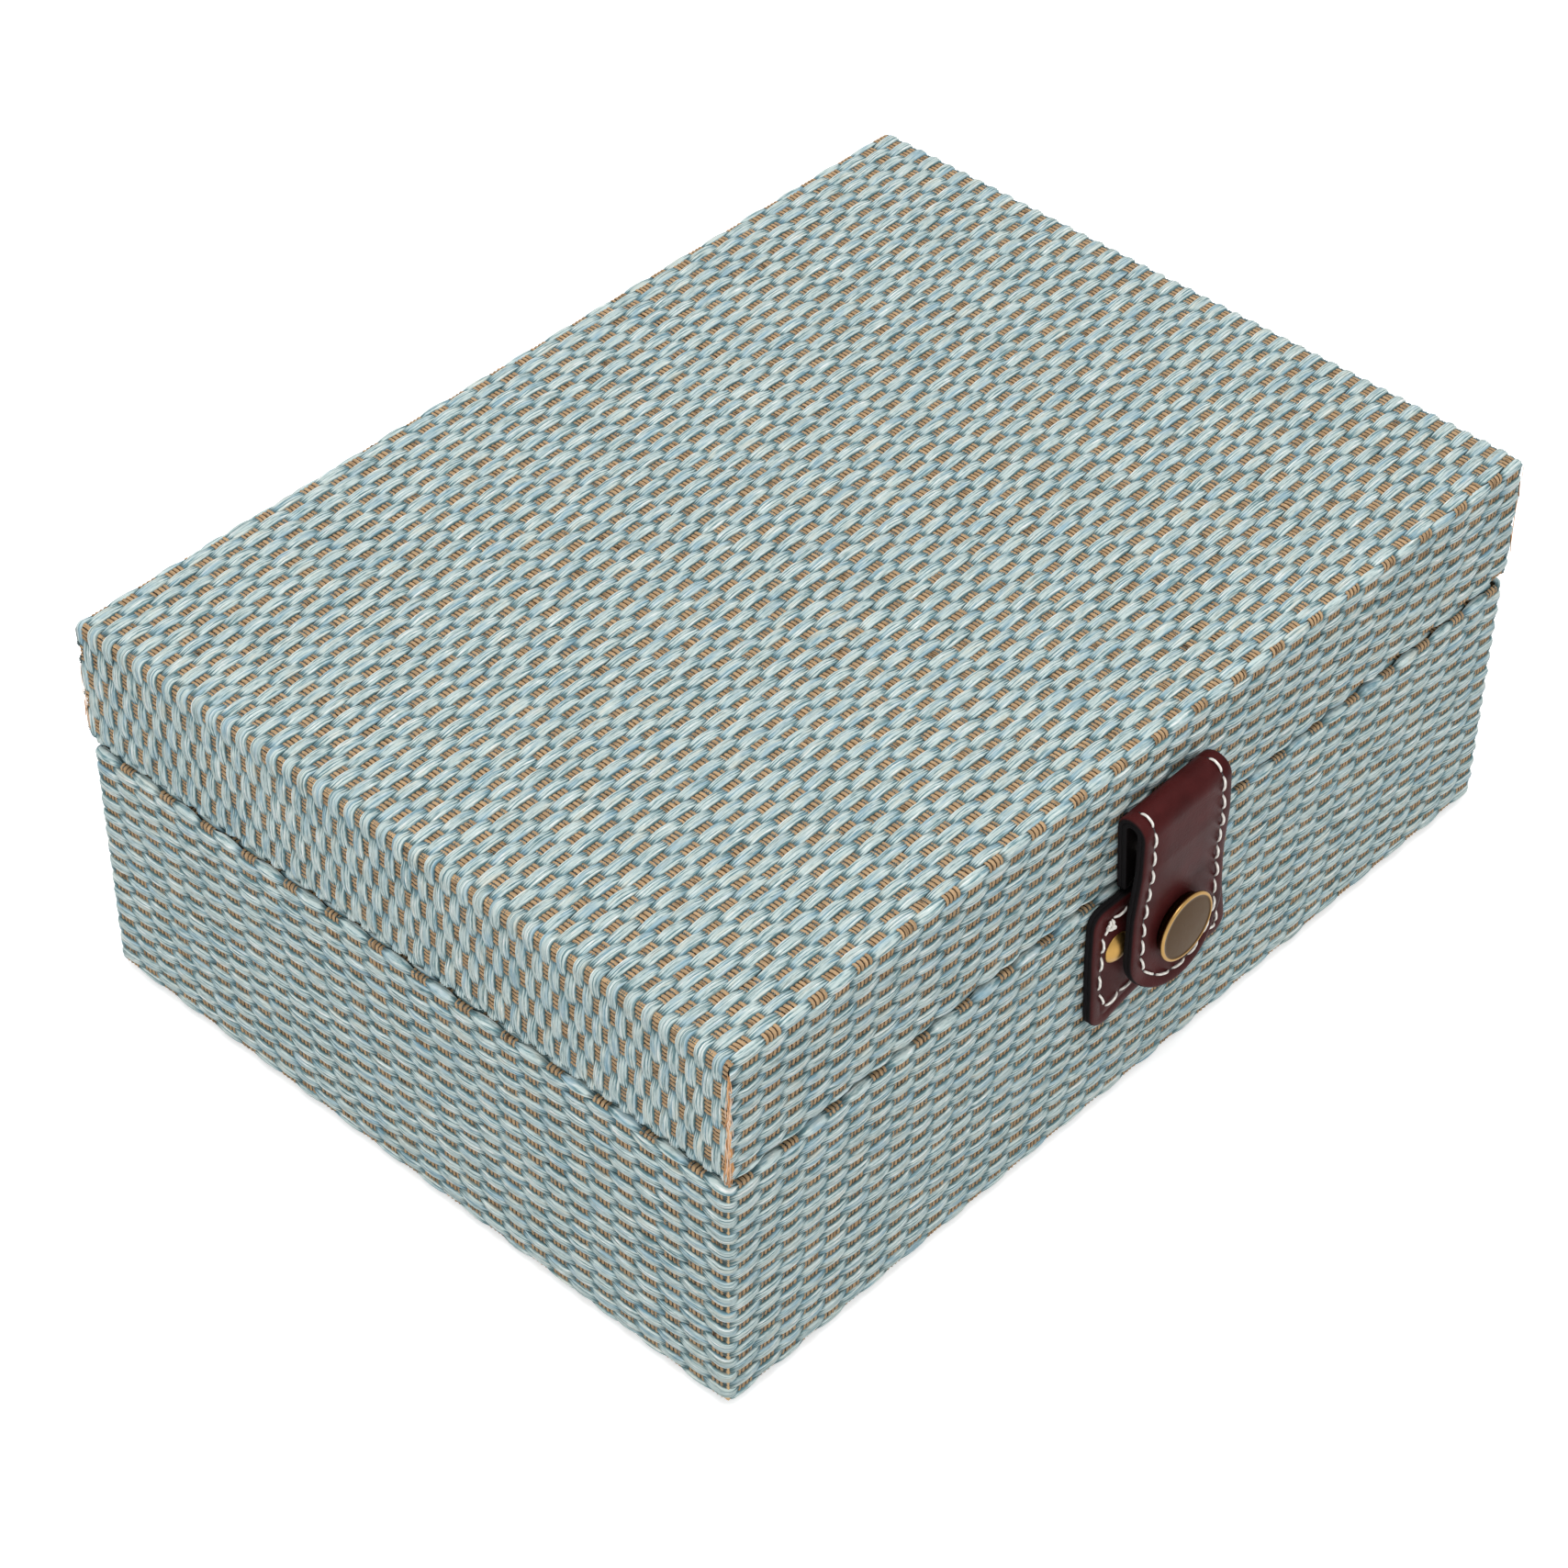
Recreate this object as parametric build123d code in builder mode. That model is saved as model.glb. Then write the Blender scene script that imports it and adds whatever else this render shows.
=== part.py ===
"""Cloth-covered wooden storage box with a stop-hinged lid and a leather snap strap.

Millimetres, +Z up. The origin is on the underside, at the middle of the box body.
+X runs to the right along the front, and -Y is the front, where the strap is.
"""
import os
from math import atan2, cos, degrees, pi, radians, sin

from build123d import *

os.makedirs("parts", exist_ok=True)

# Closed box
box_length = 230.0
box_depth = 170.0
box_height = 91.0
seam_height = 60.0
seam_gap = 0.8

# Woven cover
cover_thickness = 1.2
cover_corner_radius = 2.4
cover_edge_radius = 2.0
cover_rim_radius = 1.0
cover_turn_under = 15.0
cover_turn_in = 6.0

# Wooden boards
wall_thickness = 6.0
floor_thickness = 4.0
top_thickness = 4.0

# Lining panels and the sheet under the box
panel_thickness = 1.6
panel_gap = 0.2
sheet_thickness = 1.0
sheet_inset = 4.0

# Stop hinges
hinge_length = 24.0
hinge_spacing = 140.0
leaf_thickness = 1.4
leaf_depth = 6.8
leaf_fit = 0.1
barrel_radius = 2.0
barrel_gap = 0.2
pin_radius = 1.0
pin_clearance = 0.05
pin_head_radius = 1.5
pin_head_thickness = 0.5
knuckle_gap = 0.2
lug_gap = 0.25
lug_reach = 3.0
lug_thickness = 1.2
lug_root = 0.6
lid_open_angle = 95.0
stop_clearance_angle = 0.2

# Hinge screws
screw_spacing = 15.0
screw_radius = 0.8
screw_length = 7.0
screw_head_radius = 1.5
screw_head_angle = 90.0
screw_fit = 0.02

# Leather clasp
leather_thickness = 1.1
clasp_x = 2.0
snap_drop = 13.0
strap_lean = 2.5

# Strap: heights above the seam, then rises and drops from the middle of the snap
fold_radius = 3.65
fold_height = 17.4
fold_gap = 0.05
strap_top_width = 25.0
strap_foot_width = 23.2
strap_foot_clearance = 1.0
strap_tip_width = 27.4
strap_tip_drop = 1.7
strap_tip_length = 12.2
bulge_height = 8.5
waist_rise = 9.5
waist_depth = 6.2
flare_drop = 8.2
tip_flare = 1.4
bend_radius = 12.0

# Tab under the strap
tab_width = 41.2
tab_top_clearance = 0.7
tab_height = 30.2
tab_top_corner = 3.0
tab_bottom_corner = 3.2
tab_lobe_width = 7.1
tab_notch_rise = 3.6

# Stitching
stitch_pitch = 4.7
stitch_length = 3.9
stitch_margin = 2.7
thread_width = 0.65
thread_height = 0.4
stitch_fit = 0.01
fold_stitch_length = 2.4

# Dome rivets of the tab and flat tacks of the strap
rivet_spacing = 26.8
rivet_head_radius = 3.4
rivet_head_height = 1.6
tack_spacing = 12.0
tack_height = 9.0
tack_head_radius = 2.5
tack_head_thickness = 0.8
nail_radius = 1.0
nail_length = 5.0
nail_fit = 0.02

# Press snap
cap_radius = 7.6
cap_height = 2.6
cap_edge_radius = 1.1
cap_foot_radius = 0.5
post_radius = 1.4
socket_radius = 4.7
socket_bore = 2.5
socket_roof = 0.4
snap_recess = 0.5
snap_clearance = 0.2
hole_clearance = 0.1
stud_flange_radius = 4.0
stud_flange_thickness = 0.6
stud_neck_radius = 1.9
stud_head_radius = 2.3
stud_head_height = 0.8
stud_rivet_radius = 1.0
stud_rivet_flange_radius = 3.0
stud_rivet_flange_thickness = 0.4
stud_rivet_reach = 0.5

# Places that follow from the sizes above
half_length = box_length / 2
half_depth = box_depth / 2
base_top = seam_height - seam_gap / 2
lid_bottom = seam_height + seam_gap / 2
board_length = box_length - 2 * cover_thickness
board_depth = box_depth - 2 * cover_thickness
inner_length = board_length - 2 * wall_thickness
inner_depth = board_depth - 2 * wall_thickness
mouth_length = inner_length - 2 * cover_thickness
mouth_depth = inner_depth - 2 * cover_thickness
base_board_bottom = sheet_thickness + cover_thickness
base_board_top = base_top - cover_thickness
lid_board_bottom = lid_bottom + cover_thickness
lid_board_top = box_height - cover_thickness
lid_wall_top = lid_board_top - top_thickness
back_board_y = half_depth - cover_thickness - wall_thickness / 2
hinge_y = half_depth + barrel_gap + barrel_radius
leaf_inner_y = half_depth - leaf_depth
screw_head_height = screw_head_radius - screw_radius
snap_height = seam_height - snap_drop
tab_thickness = 2 * leather_thickness
tab_top = base_top - tab_top_clearance
tab_bottom = tab_top - tab_height
strap_thickness = 2 * leather_thickness
strap_foot = lid_bottom + strap_foot_clearance - snap_height
fold_rise = seam_height + fold_height - snap_height
bulge_rise = seam_height + bulge_height - snap_height
tack_rise = seam_height + tack_height - snap_height
nail_reach = cover_thickness + nail_length
hinge_centres = {"left": -hinge_spacing / 2, "right": hinge_spacing / 2}
rivet_centres = [(clasp_x + side * rivet_spacing / 2, snap_height) for side in (-1, 1)]
tack_centres = [(side * tack_spacing / 2, tack_rise) for side in (-1, 1)]

# The front face, and the strap's own planes: flat on the face, and side-on to it
front_plane = Plane(origin=(0, -half_depth, 0), x_dir=(1, 0, 0), z_dir=(0, -1, 0))
strap_origin = (clasp_x, -half_depth, snap_height)
across = (cos(radians(strap_lean)), 0, sin(radians(strap_lean)))
strap_plane = Plane(origin=strap_origin, x_dir=across, z_dir=(0, -1, 0))
side_plane = Plane(origin=strap_origin, x_dir=(0, -1, 0), z_dir=(-across[0], 0, -across[2]))
snap_plane = Plane(origin=strap_origin, x_dir=(1, 0, 0), z_dir=(0, -1, 0))


def keep(builder, node):
    """Names a finished piece and writes it."""
    builder.part.label = node
    export_step(builder.part, f"parts/{node}.step")


def slab(length, depth, bottom, top, centre=(0, 0), mode=Mode.ADD):
    """A flat block between two heights, in the part that is being made."""
    with BuildSketch(Plane.XY.offset(bottom)) as outline:
        with Locations(centre):
            Rectangle(length, depth)
    extrude(outline.sketch, amount=top - bottom, mode=mode)


def nail_holes(plane, centres, depth):
    """Holes of the nails that are driven in from the front."""
    with BuildSketch(plane) as holes:
        with Locations(centres):
            Circle(nail_radius + nail_fit)
    extrude(holes.sketch, amount=-depth, mode=Mode.SUBTRACT)


def hinge_pockets(rim, inward):
    """Recesses of both hinge leaves, cut into a rim of the back, with their screw holes."""
    for centre in hinge_centres.values():
        with BuildSketch(Plane.XY.offset(rim)) as pocket:
            with Locations((centre, leaf_inner_y - leaf_fit)):
                Rectangle(
                    hinge_length + 2 * leaf_fit, leaf_depth + 2 * leaf_fit, align=(Align.CENTER, Align.MIN)
                )
        extrude(pocket.sketch, amount=inward * leaf_thickness, mode=Mode.SUBTRACT)
        with BuildSketch(Plane.XY.offset(rim)) as holes:
            with Locations((centre, back_board_y)):
                with GridLocations(screw_spacing, 0, 2, 1):
                    Circle(screw_radius + screw_fit)
        extrude(holes.sketch, amount=inward * screw_length, mode=Mode.SUBTRACT)


# Walls of the base and of the lid
wall_sizes = {
    "front": (board_length, wall_thickness, (0, -back_board_y)),
    "back": (board_length, wall_thickness, (0, back_board_y)),
    "left": (wall_thickness, inner_depth, (-(inner_length + wall_thickness) / 2, 0)),
    "right": (wall_thickness, inner_depth, ((inner_length + wall_thickness) / 2, 0)),
}
for place, (length, depth, centre) in wall_sizes.items():
    with BuildPart() as base_wall:
        slab(length, depth, base_board_bottom, base_board_top, centre)
        if place == "front":
            nail_holes(front_plane, rivet_centres, nail_reach)
        if place == "back":
            hinge_pockets(base_top, -1)
    keep(base_wall, f"base_{place}_board")

    with BuildPart() as lid_wall:
        slab(length, depth, lid_board_bottom, lid_wall_top, centre)
        if place == "front":
            nail_holes(strap_plane, tack_centres, nail_reach)
        if place == "back":
            hinge_pockets(lid_bottom, 1)
    keep(lid_wall, f"lid_{place}_board")

# Floor board between the walls, and top board over them
floor_top = base_board_bottom + floor_thickness
with BuildPart() as floor_board:
    slab(inner_length, inner_depth, base_board_bottom, floor_top)
keep(floor_board, "base_floor_board")

with BuildPart() as top_board:
    slab(board_length, board_depth, lid_wall_top, lid_board_top)
keep(top_board, "lid_top_board")


def cover_block(bottom, top, soft_edges):
    """Outer block of a cover, with its upright edges and the outlines of some faces rounded."""
    with BuildSketch(Plane.XY.offset(bottom)) as outline:
        RectangleRounded(box_length, box_depth, cover_corner_radius)
    extrude(outline.sketch, amount=top - bottom)
    for face_index, radius in soft_edges:
        fillet(faces().sort_by(Axis.Z)[face_index].edges(), radius)


def turned_in_band(bottom, top):
    """Cloth that is turned over a rim and glued down inside the walls."""
    with BuildSketch(Plane.XY.offset(bottom)) as band:
        Rectangle(inner_length, inner_depth)
        Rectangle(mouth_length, mouth_depth, mode=Mode.SUBTRACT)
    extrude(band.sketch, amount=top - bottom)


# Woven cover of the base, turned under the floor and over the rim
with BuildPart() as base_cover:
    cover_block(sheet_thickness, base_top, [(0, cover_edge_radius), (-1, cover_rim_radius)])
    slab(board_length, board_depth, base_board_bottom, base_board_top, mode=Mode.SUBTRACT)
    slab(mouth_length, mouth_depth, base_board_top, base_top, mode=Mode.SUBTRACT)
    slab(
        box_length - 2 * cover_turn_under,
        box_depth - 2 * cover_turn_under,
        sheet_thickness,
        base_board_bottom,
        mode=Mode.SUBTRACT,
    )
    turned_in_band(base_top - cover_turn_in, base_top)
    nail_holes(front_plane, rivet_centres, cover_thickness)
    hinge_pockets(base_top, -1)
keep(base_cover, "base_cover")

# Woven cover of the lid, over its top and round its rim
with BuildPart() as lid_cover:
    cover_block(lid_bottom, box_height, [(-1, cover_edge_radius), (0, cover_rim_radius)])
    slab(board_length, board_depth, lid_board_bottom, lid_board_top, mode=Mode.SUBTRACT)
    slab(mouth_length, mouth_depth, lid_bottom, lid_board_bottom, mode=Mode.SUBTRACT)
    turned_in_band(lid_bottom, lid_bottom + cover_turn_in)
    nail_holes(strap_plane, tack_centres, cover_thickness)
    hinge_pockets(lid_bottom, 1)
keep(lid_cover, "lid_cover")

# Sheet glued under the base, over the turned cloth
with BuildPart() as underside_sheet:
    with BuildSketch():
        RectangleRounded(box_length - 2 * sheet_inset, box_depth - 2 * sheet_inset, cover_corner_radius)
    extrude(amount=sheet_thickness)
keep(underside_sheet, "underside_sheet")

# Lining panels: four along the walls and one on the floor, or under the top
lined_length = inner_length - 2 * panel_thickness
lined_depth = inner_depth - 2 * panel_thickness
panel_x = (inner_length - panel_thickness) / 2
panel_y = (inner_depth - panel_thickness) / 2
panel_sizes = {
    "front": (inner_length, panel_thickness, (0, -panel_y)),
    "back": (inner_length, panel_thickness, (0, panel_y)),
    "left": (panel_thickness, lined_depth, (-panel_x, 0)),
    "right": (panel_thickness, lined_depth, (panel_x, 0)),
}
base_panel_top = base_top - cover_turn_in - panel_gap
lid_panel_bottom = lid_bottom + cover_turn_in + panel_gap
for place, (length, depth, centre) in panel_sizes.items():
    with BuildPart() as base_panel:
        slab(length, depth, floor_top, base_panel_top, centre)
    keep(base_panel, f"base_{place}_lining")

    with BuildPart() as lid_panel:
        slab(length, depth, lid_panel_bottom, lid_wall_top, centre)
    keep(lid_panel, f"lid_{place}_lining")

with BuildPart() as floor_lining:
    slab(lined_length, lined_depth, floor_top, floor_top + panel_thickness)
keep(floor_lining, "base_floor_lining")

with BuildPart() as top_lining:
    slab(lined_length, lined_depth, lid_wall_top - panel_thickness, lid_wall_top)
keep(top_lining, "lid_top_lining")

# Stop hinges: three knuckles, and lugs behind the barrel that meet when the lid is open
knuckle_pitch = hinge_length / 3
knuckle_length = knuckle_pitch - knuckle_gap
lug_angle = (lid_open_angle + stop_clearance_angle) / 2
lug_end = barrel_radius + lug_gap + lug_reach


def lug(centre, length, start, turn):
    """One length of a stop lug: a plate whose inner face points at the pin's axis."""
    lean = turn * radians(lug_angle)
    lug_plane = Plane(
        origin=(centre, hinge_y, seam_height), x_dir=(0, cos(lean), sin(lean)), z_dir=(1, 0, 0)
    )
    with BuildSketch(lug_plane) as plate:
        with Locations((start, 0)):
            Rectangle(lug_end - start, lug_thickness, align=(Align.MIN, Align.MIN if turn > 0 else Align.MAX))
    extrude(plate.sketch, amount=length / 2, both=True)


def hinge_leaf(centre, rim, side, own_knuckles, other_knuckles):
    """A leaf let into a rim, with its knuckles, its stop lug and its screw holes."""
    with BuildPart() as leaf:
        with BuildSketch(Plane.XY.offset(rim)):
            with Locations((centre, leaf_inner_y)):
                Rectangle(hinge_length, hinge_y - leaf_inner_y, align=(Align.CENTER, Align.MIN))
        extrude(amount=side * leaf_thickness)
        for index in other_knuckles:
            with BuildSketch(Plane.YZ.offset(centre + index * knuckle_pitch)):
                with Locations((hinge_y, seam_height)):
                    Circle(barrel_radius + barrel_gap)
            extrude(amount=knuckle_pitch / 2, both=True, mode=Mode.SUBTRACT)
        for index in own_knuckles:
            with BuildSketch(Plane.YZ.offset(centre + index * knuckle_pitch)):
                with Locations((hinge_y, seam_height)):
                    Circle(barrel_radius)
            extrude(amount=knuckle_length / 2, both=True)
            lug(centre + index * knuckle_pitch, knuckle_length, barrel_radius - lug_root, side)
        lug(centre, hinge_length, barrel_radius + lug_gap, side)
        with BuildSketch(Plane.YZ.offset(centre)):
            with Locations((hinge_y, seam_height)):
                Circle(pin_radius + pin_clearance)
        extrude(amount=hinge_length, both=True, mode=Mode.SUBTRACT)
        with Locations(Plane(origin=(centre, back_board_y, rim), z_dir=(0, 0, -side))):
            with GridLocations(screw_spacing, 0, 2, 1):
                CounterSinkHole(
                    screw_radius + screw_fit, screw_head_radius + screw_fit, counter_sink_angle=screw_head_angle
                )
    return leaf


for place, centre in hinge_centres.items():
    keep(hinge_leaf(centre, base_top, -1, (-1, 1), (0,)), f"{place}_hinge_base_leaf")
    keep(hinge_leaf(centre, lid_bottom, 1, (0,), (-1, 1)), f"{place}_hinge_lid_leaf")

    with BuildPart() as pin:
        with BuildSketch(Plane.YZ.offset(centre)):
            with Locations((hinge_y, seam_height)):
                Circle(pin_radius)
        extrude(amount=hinge_length / 2, both=True)
        for end in (-1, 1):
            with BuildSketch(Plane.YZ.offset(centre + end * hinge_length / 2)):
                with Locations((hinge_y, seam_height)):
                    Circle(pin_head_radius)
            extrude(amount=end * pin_head_thickness)
    keep(pin, f"{place}_hinge_pin")


def hinge_screws(rim, inward):
    """Four countersunk wood screws that hold two leaves to one rim."""
    with BuildPart() as screws:
        for centre in hinge_centres.values():
            for offset in (-screw_spacing / 2, screw_spacing / 2):
                with BuildSketch(Plane(origin=(centre + offset, back_board_y, rim), z_dir=(0, 0, inward))):
                    Circle(screw_head_radius)
                extrude(amount=screw_head_height, taper=screw_head_angle / 2)
                with BuildSketch(Plane(origin=(centre + offset, back_board_y, rim), z_dir=(0, 0, inward))):
                    Circle(screw_radius)
                extrude(amount=screw_length)
    return screws


keep(hinge_screws(base_top, -1), "base_hinge_screws")
keep(hinge_screws(lid_bottom, 1), "lid_hinge_screws")


def front_outline():
    """Flat outline of the hanging leg: straight sides that widen down to a half-oval tip."""
    high = fold_rise + 2 * fold_radius
    with BuildSketch(strap_plane) as outline:
        with BuildLine():
            Polyline(
                (-strap_tip_width / 2, -strap_tip_drop),
                (-strap_top_width / 2, high),
                (strap_top_width / 2, high),
                (strap_tip_width / 2, -strap_tip_drop),
            )
            EllipticalCenterArc(
                (0, -strap_tip_drop), strap_tip_width / 2, strap_tip_length, start_angle=180, arc_size=180
            )
        make_face()
    return outline.sketch


def back_outline():
    """Flat outline of the fixed leg, which narrows towards the lid's rim."""
    high = fold_rise + 2 * fold_radius
    with BuildSketch(strap_plane) as outline:
        with BuildLine():
            Polyline(
                (-strap_foot_width / 2, strap_foot),
                (strap_foot_width / 2, strap_foot),
                (strap_top_width / 2, high),
                (-strap_top_width / 2, high),
                close=True,
            )
        make_face()
    return outline.sketch


def front_line(inset):
    """Side view of the hanging leg at a depth in the leather, from the top of the fold to the tip."""
    bulge = 2 * fold_radius - inset
    waist = waist_depth - inset
    slope = tip_flare / (strap_tip_drop + strap_tip_length - flare_drop)
    end_drop = strap_tip_drop + strap_tip_length + strap_thickness
    arc = CenterArc((fold_radius, fold_rise), fold_radius - inset, 0, 90)
    leg = FilletPolyline(
        (bulge, fold_rise),
        (bulge, bulge_rise),
        (waist, waist_rise),
        (waist, -flare_drop),
        (waist + slope * (end_drop - flare_drop), -end_drop),
        radius=bend_radius,
    )
    return arc @ 1, leg @ 1


def back_line(inset):
    """Side view of the fixed leg at a depth in the leather, from the top of the fold to its foot."""
    arc = CenterArc((fold_radius, fold_rise), fold_radius - inset, 90, 90)
    leg = Line((inset, fold_rise), (inset, strap_foot))
    return arc @ 0, leg @ 1


def strap_layer(line, outer, inner, mode):
    """Layer of one leg between two depths in the leather, across the whole strap."""
    with BuildSketch(side_plane) as section:
        with BuildLine():
            outer_start, outer_end = line(outer)
            inner_start, inner_end = line(inner)
            Line(outer_start, inner_start)
            Line(outer_end, inner_end)
        make_face()
    extrude(section.sketch, amount=strap_tip_width, both=True, mode=mode)


def strap_leg(line, outline, outer, inner):
    """One layer of one leg of the strap, cut to its outline and to its side of the fold."""
    with BuildPart() as leg:
        extrude(outline(), amount=2 * fold_radius + strap_thickness)
        strap_layer(line, outer, inner, Mode.INTERSECT)
        if line is front_line:
            with BuildSketch(side_plane):
                with Locations((fold_radius, fold_rise)):
                    Rectangle(fold_gap, 2 * fold_radius, align=(Align.MIN, Align.MIN))
            extrude(amount=strap_tip_width, both=True, mode=Mode.SUBTRACT)
            with BuildSketch(strap_plane):
                Circle(post_radius + hole_clearance)
            extrude(amount=waist_depth + leather_thickness, mode=Mode.SUBTRACT)
            with BuildSketch(strap_plane):
                Circle(socket_radius + hole_clearance)
            extrude(amount=waist_depth - strap_thickness + snap_recess, mode=Mode.SUBTRACT)
        else:
            with BuildSketch(strap_plane):
                with Locations(tack_centres):
                    Circle(nail_radius + nail_fit)
            extrude(amount=strap_thickness, mode=Mode.SUBTRACT)
    return leg


# Strap: two layers of leather, folded over in front of the lid
keep(strap_leg(back_line, back_outline, 0, leather_thickness), "strap_back_leather")
keep(strap_leg(back_line, back_outline, leather_thickness, strap_thickness), "strap_back_lining")
keep(strap_leg(front_line, front_outline, 0, leather_thickness), "strap_front_leather")
keep(strap_leg(front_line, front_outline, leather_thickness, strap_thickness), "strap_front_lining")

# Running stitches of the hanging leg: two rows, the tip's half oval, and one each side on the fold
side_length = fold_rise + strap_tip_drop
side_count = int(side_length / stitch_pitch)
side_slant = degrees(atan2((strap_tip_width - strap_top_width) / 2, side_length))
tip_side = strap_tip_width / 2 - stitch_margin
tip_reach = strap_tip_length - stitch_margin
tip_count = int(pi * (tip_side + tip_reach) / 2 / stitch_pitch)
row_inset = stitch_margin + (strap_tip_width - strap_top_width) / 2
fold_stitch_plane = Plane(
    origin=strap_plane.from_local_coords((0, fold_rise + 2 * fold_radius, 0)),
    x_dir=across,
    z_dir=strap_plane.y_dir,
)
with BuildPart() as strap_stitching:
    with BuildSketch(strap_plane):
        for side in (-1, 1):
            for index in range(side_count):
                drop = (index + 0.5) * side_length / side_count
                share = drop / side_length
                out = strap_tip_width / 2 - row_inset + share * (row_inset - stitch_margin)
                with Locations((side * out, fold_rise - drop)):
                    SlotOverall(stitch_length, thread_width, rotation=90 + side * side_slant)
        for index in range(tip_count):
            turn = radians(180 + (index + 0.5) * 180 / tip_count)
            heading = degrees(atan2(tip_reach * cos(turn), -tip_side * sin(turn)))
            with Locations((tip_side * cos(turn), tip_reach * sin(turn) - strap_tip_drop)):
                SlotOverall(stitch_length, thread_width, rotation=heading)
    extrude(amount=3 * fold_radius)
    with BuildSketch(fold_stitch_plane):
        for side in (-1, 1):
            out = side * (strap_top_width / 2 - stitch_margin)
            with Locations((out, -fold_radius - fold_stitch_length / 2 - thread_width)):
                SlotOverall(fold_stitch_length, thread_width, rotation=90)
    extrude(amount=-2 * fold_radius)
    strap_layer(front_line, -stitch_fit - thread_height, -stitch_fit, Mode.INTERSECT)
keep(strap_stitching, "strap_stitching")


def tab_outline(depth):
    """Outline of the tab: two lobes at the bottom with a shallow notch between them."""
    left = clasp_x - tab_width / 2
    right = clasp_x + tab_width / 2
    with BuildSketch(front_plane.offset(depth)) as outline:
        with BuildLine():
            Polyline(
                (left + tab_lobe_width, tab_bottom),
                (left, tab_bottom),
                (left, tab_top),
                (right, tab_top),
                (right, tab_bottom),
                (right - tab_lobe_width, tab_bottom),
            )
            ThreePointArc(
                (right - tab_lobe_width, tab_bottom),
                (clasp_x, tab_bottom + tab_notch_rise),
                (left + tab_lobe_width, tab_bottom),
            )
        make_face()
        low_corners = vertices().group_by(Axis.Y)[0].sort_by(Axis.X)
        fillet([low_corners[0], low_corners[-1]], tab_bottom_corner)
        fillet(vertices().group_by(Axis.Y)[-1], tab_top_corner)
    return outline.sketch


def tab_layer(start, thickness):
    """One layer of the tab, with its rivet holes and the hole of the snap's rivet."""
    with BuildPart(mode=Mode.PRIVATE) as layer:
        extrude(tab_outline(start), amount=thickness)
        with BuildSketch(front_plane.offset(start)):
            with Locations(rivet_centres):
                Circle(nail_radius + nail_fit)
            with Locations((clasp_x, snap_height)):
                Circle(stud_rivet_radius + hole_clearance)
        extrude(amount=thickness, mode=Mode.SUBTRACT)
    return layer.part


def disc(plane, radius, thickness, mode=Mode.ADD):
    """A round layer that grows along its plane's normal, or is cut there."""
    with BuildSketch(plane) as outline:
        Circle(radius)
    extrude(outline.sketch, amount=thickness, mode=mode)


# Tab: two layers of leather on the base, recessed for the snap's flange and stud
stud_seat = tab_thickness - snap_recess
with BuildPart() as tab_lining:
    add(tab_layer(0, leather_thickness))
    disc(snap_plane, stud_rivet_flange_radius + hole_clearance, stud_rivet_flange_thickness, Mode.SUBTRACT)
keep(tab_lining, "tab_lining")

with BuildPart() as tab_leather:
    add(tab_layer(leather_thickness, leather_thickness))
    disc(snap_plane.offset(stud_seat), stud_flange_radius + hole_clearance, snap_recess, Mode.SUBTRACT)
keep(tab_leather, "tab_leather")

# Running stitches of the tab, along its outline
tab_face = tab_outline(tab_thickness + stitch_fit).faces()[0]
seam_line = tab_face.outer_wire().offset_2d(-stitch_margin)
tab_stitch_count = int(seam_line.length / stitch_pitch)
with BuildPart() as tab_stitching:
    for index in range(tab_stitch_count):
        share = index / tab_stitch_count
        with BuildSketch(Plane(origin=seam_line @ share, x_dir=seam_line % share, z_dir=(0, -1, 0))):
            SlotOverall(stitch_length, thread_width)
        extrude(amount=thread_height)
keep(tab_stitching, "tab_stitching")

# Dome rivets that hold the tab to the base
dome_radius = (rivet_head_radius**2 + rivet_head_height**2) / (2 * rivet_head_height)
with BuildPart() as tab_rivets:
    for centre_x, centre_z in rivet_centres:
        spot = (centre_x, -half_depth, centre_z)
        with BuildSketch(Plane(origin=spot, x_dir=(1, 0, 0), z_dir=(0, 0, -1))):
            with BuildLine():
                Polyline(
                    (0, tab_thickness + rivet_head_height),
                    (0, -nail_reach),
                    (nail_radius, -nail_reach),
                    (nail_radius, tab_thickness),
                    (rivet_head_radius, tab_thickness),
                )
                RadiusArc(
                    (rivet_head_radius, tab_thickness), (0, tab_thickness + rivet_head_height), -dome_radius
                )
            make_face()
        revolve(axis=Axis(spot, (0, -1, 0)))
keep(tab_rivets, "tab_rivets")

# Flat tacks that hold the strap's fixed leg to the lid, inside the loop
with BuildPart() as strap_tacks:
    with BuildSketch(strap_plane.offset(strap_thickness)):
        with Locations(tack_centres):
            Circle(tack_head_radius)
    extrude(amount=tack_head_thickness)
    with BuildSketch(strap_plane.offset(strap_thickness)):
        with Locations(tack_centres):
            Circle(nail_radius)
    extrude(amount=-strap_thickness - nail_reach)
keep(strap_tacks, "strap_tacks")

# Press snap: a stud riveted to the tab, and a socket that the cap's post holds to the strap
stud_flange_top = stud_seat + stud_flange_thickness
socket_bottom = stud_flange_top + snap_clearance
socket_top = waist_depth - strap_thickness + snap_recess
stud_top = socket_top - socket_roof - snap_clearance
stud_rivet_end = stud_flange_top + stud_rivet_reach

with BuildPart() as stud_rivet:
    disc(snap_plane, stud_rivet_flange_radius, stud_rivet_flange_thickness)
    disc(snap_plane, stud_rivet_radius, stud_rivet_end)
keep(stud_rivet, "snap_stud_rivet")

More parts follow.
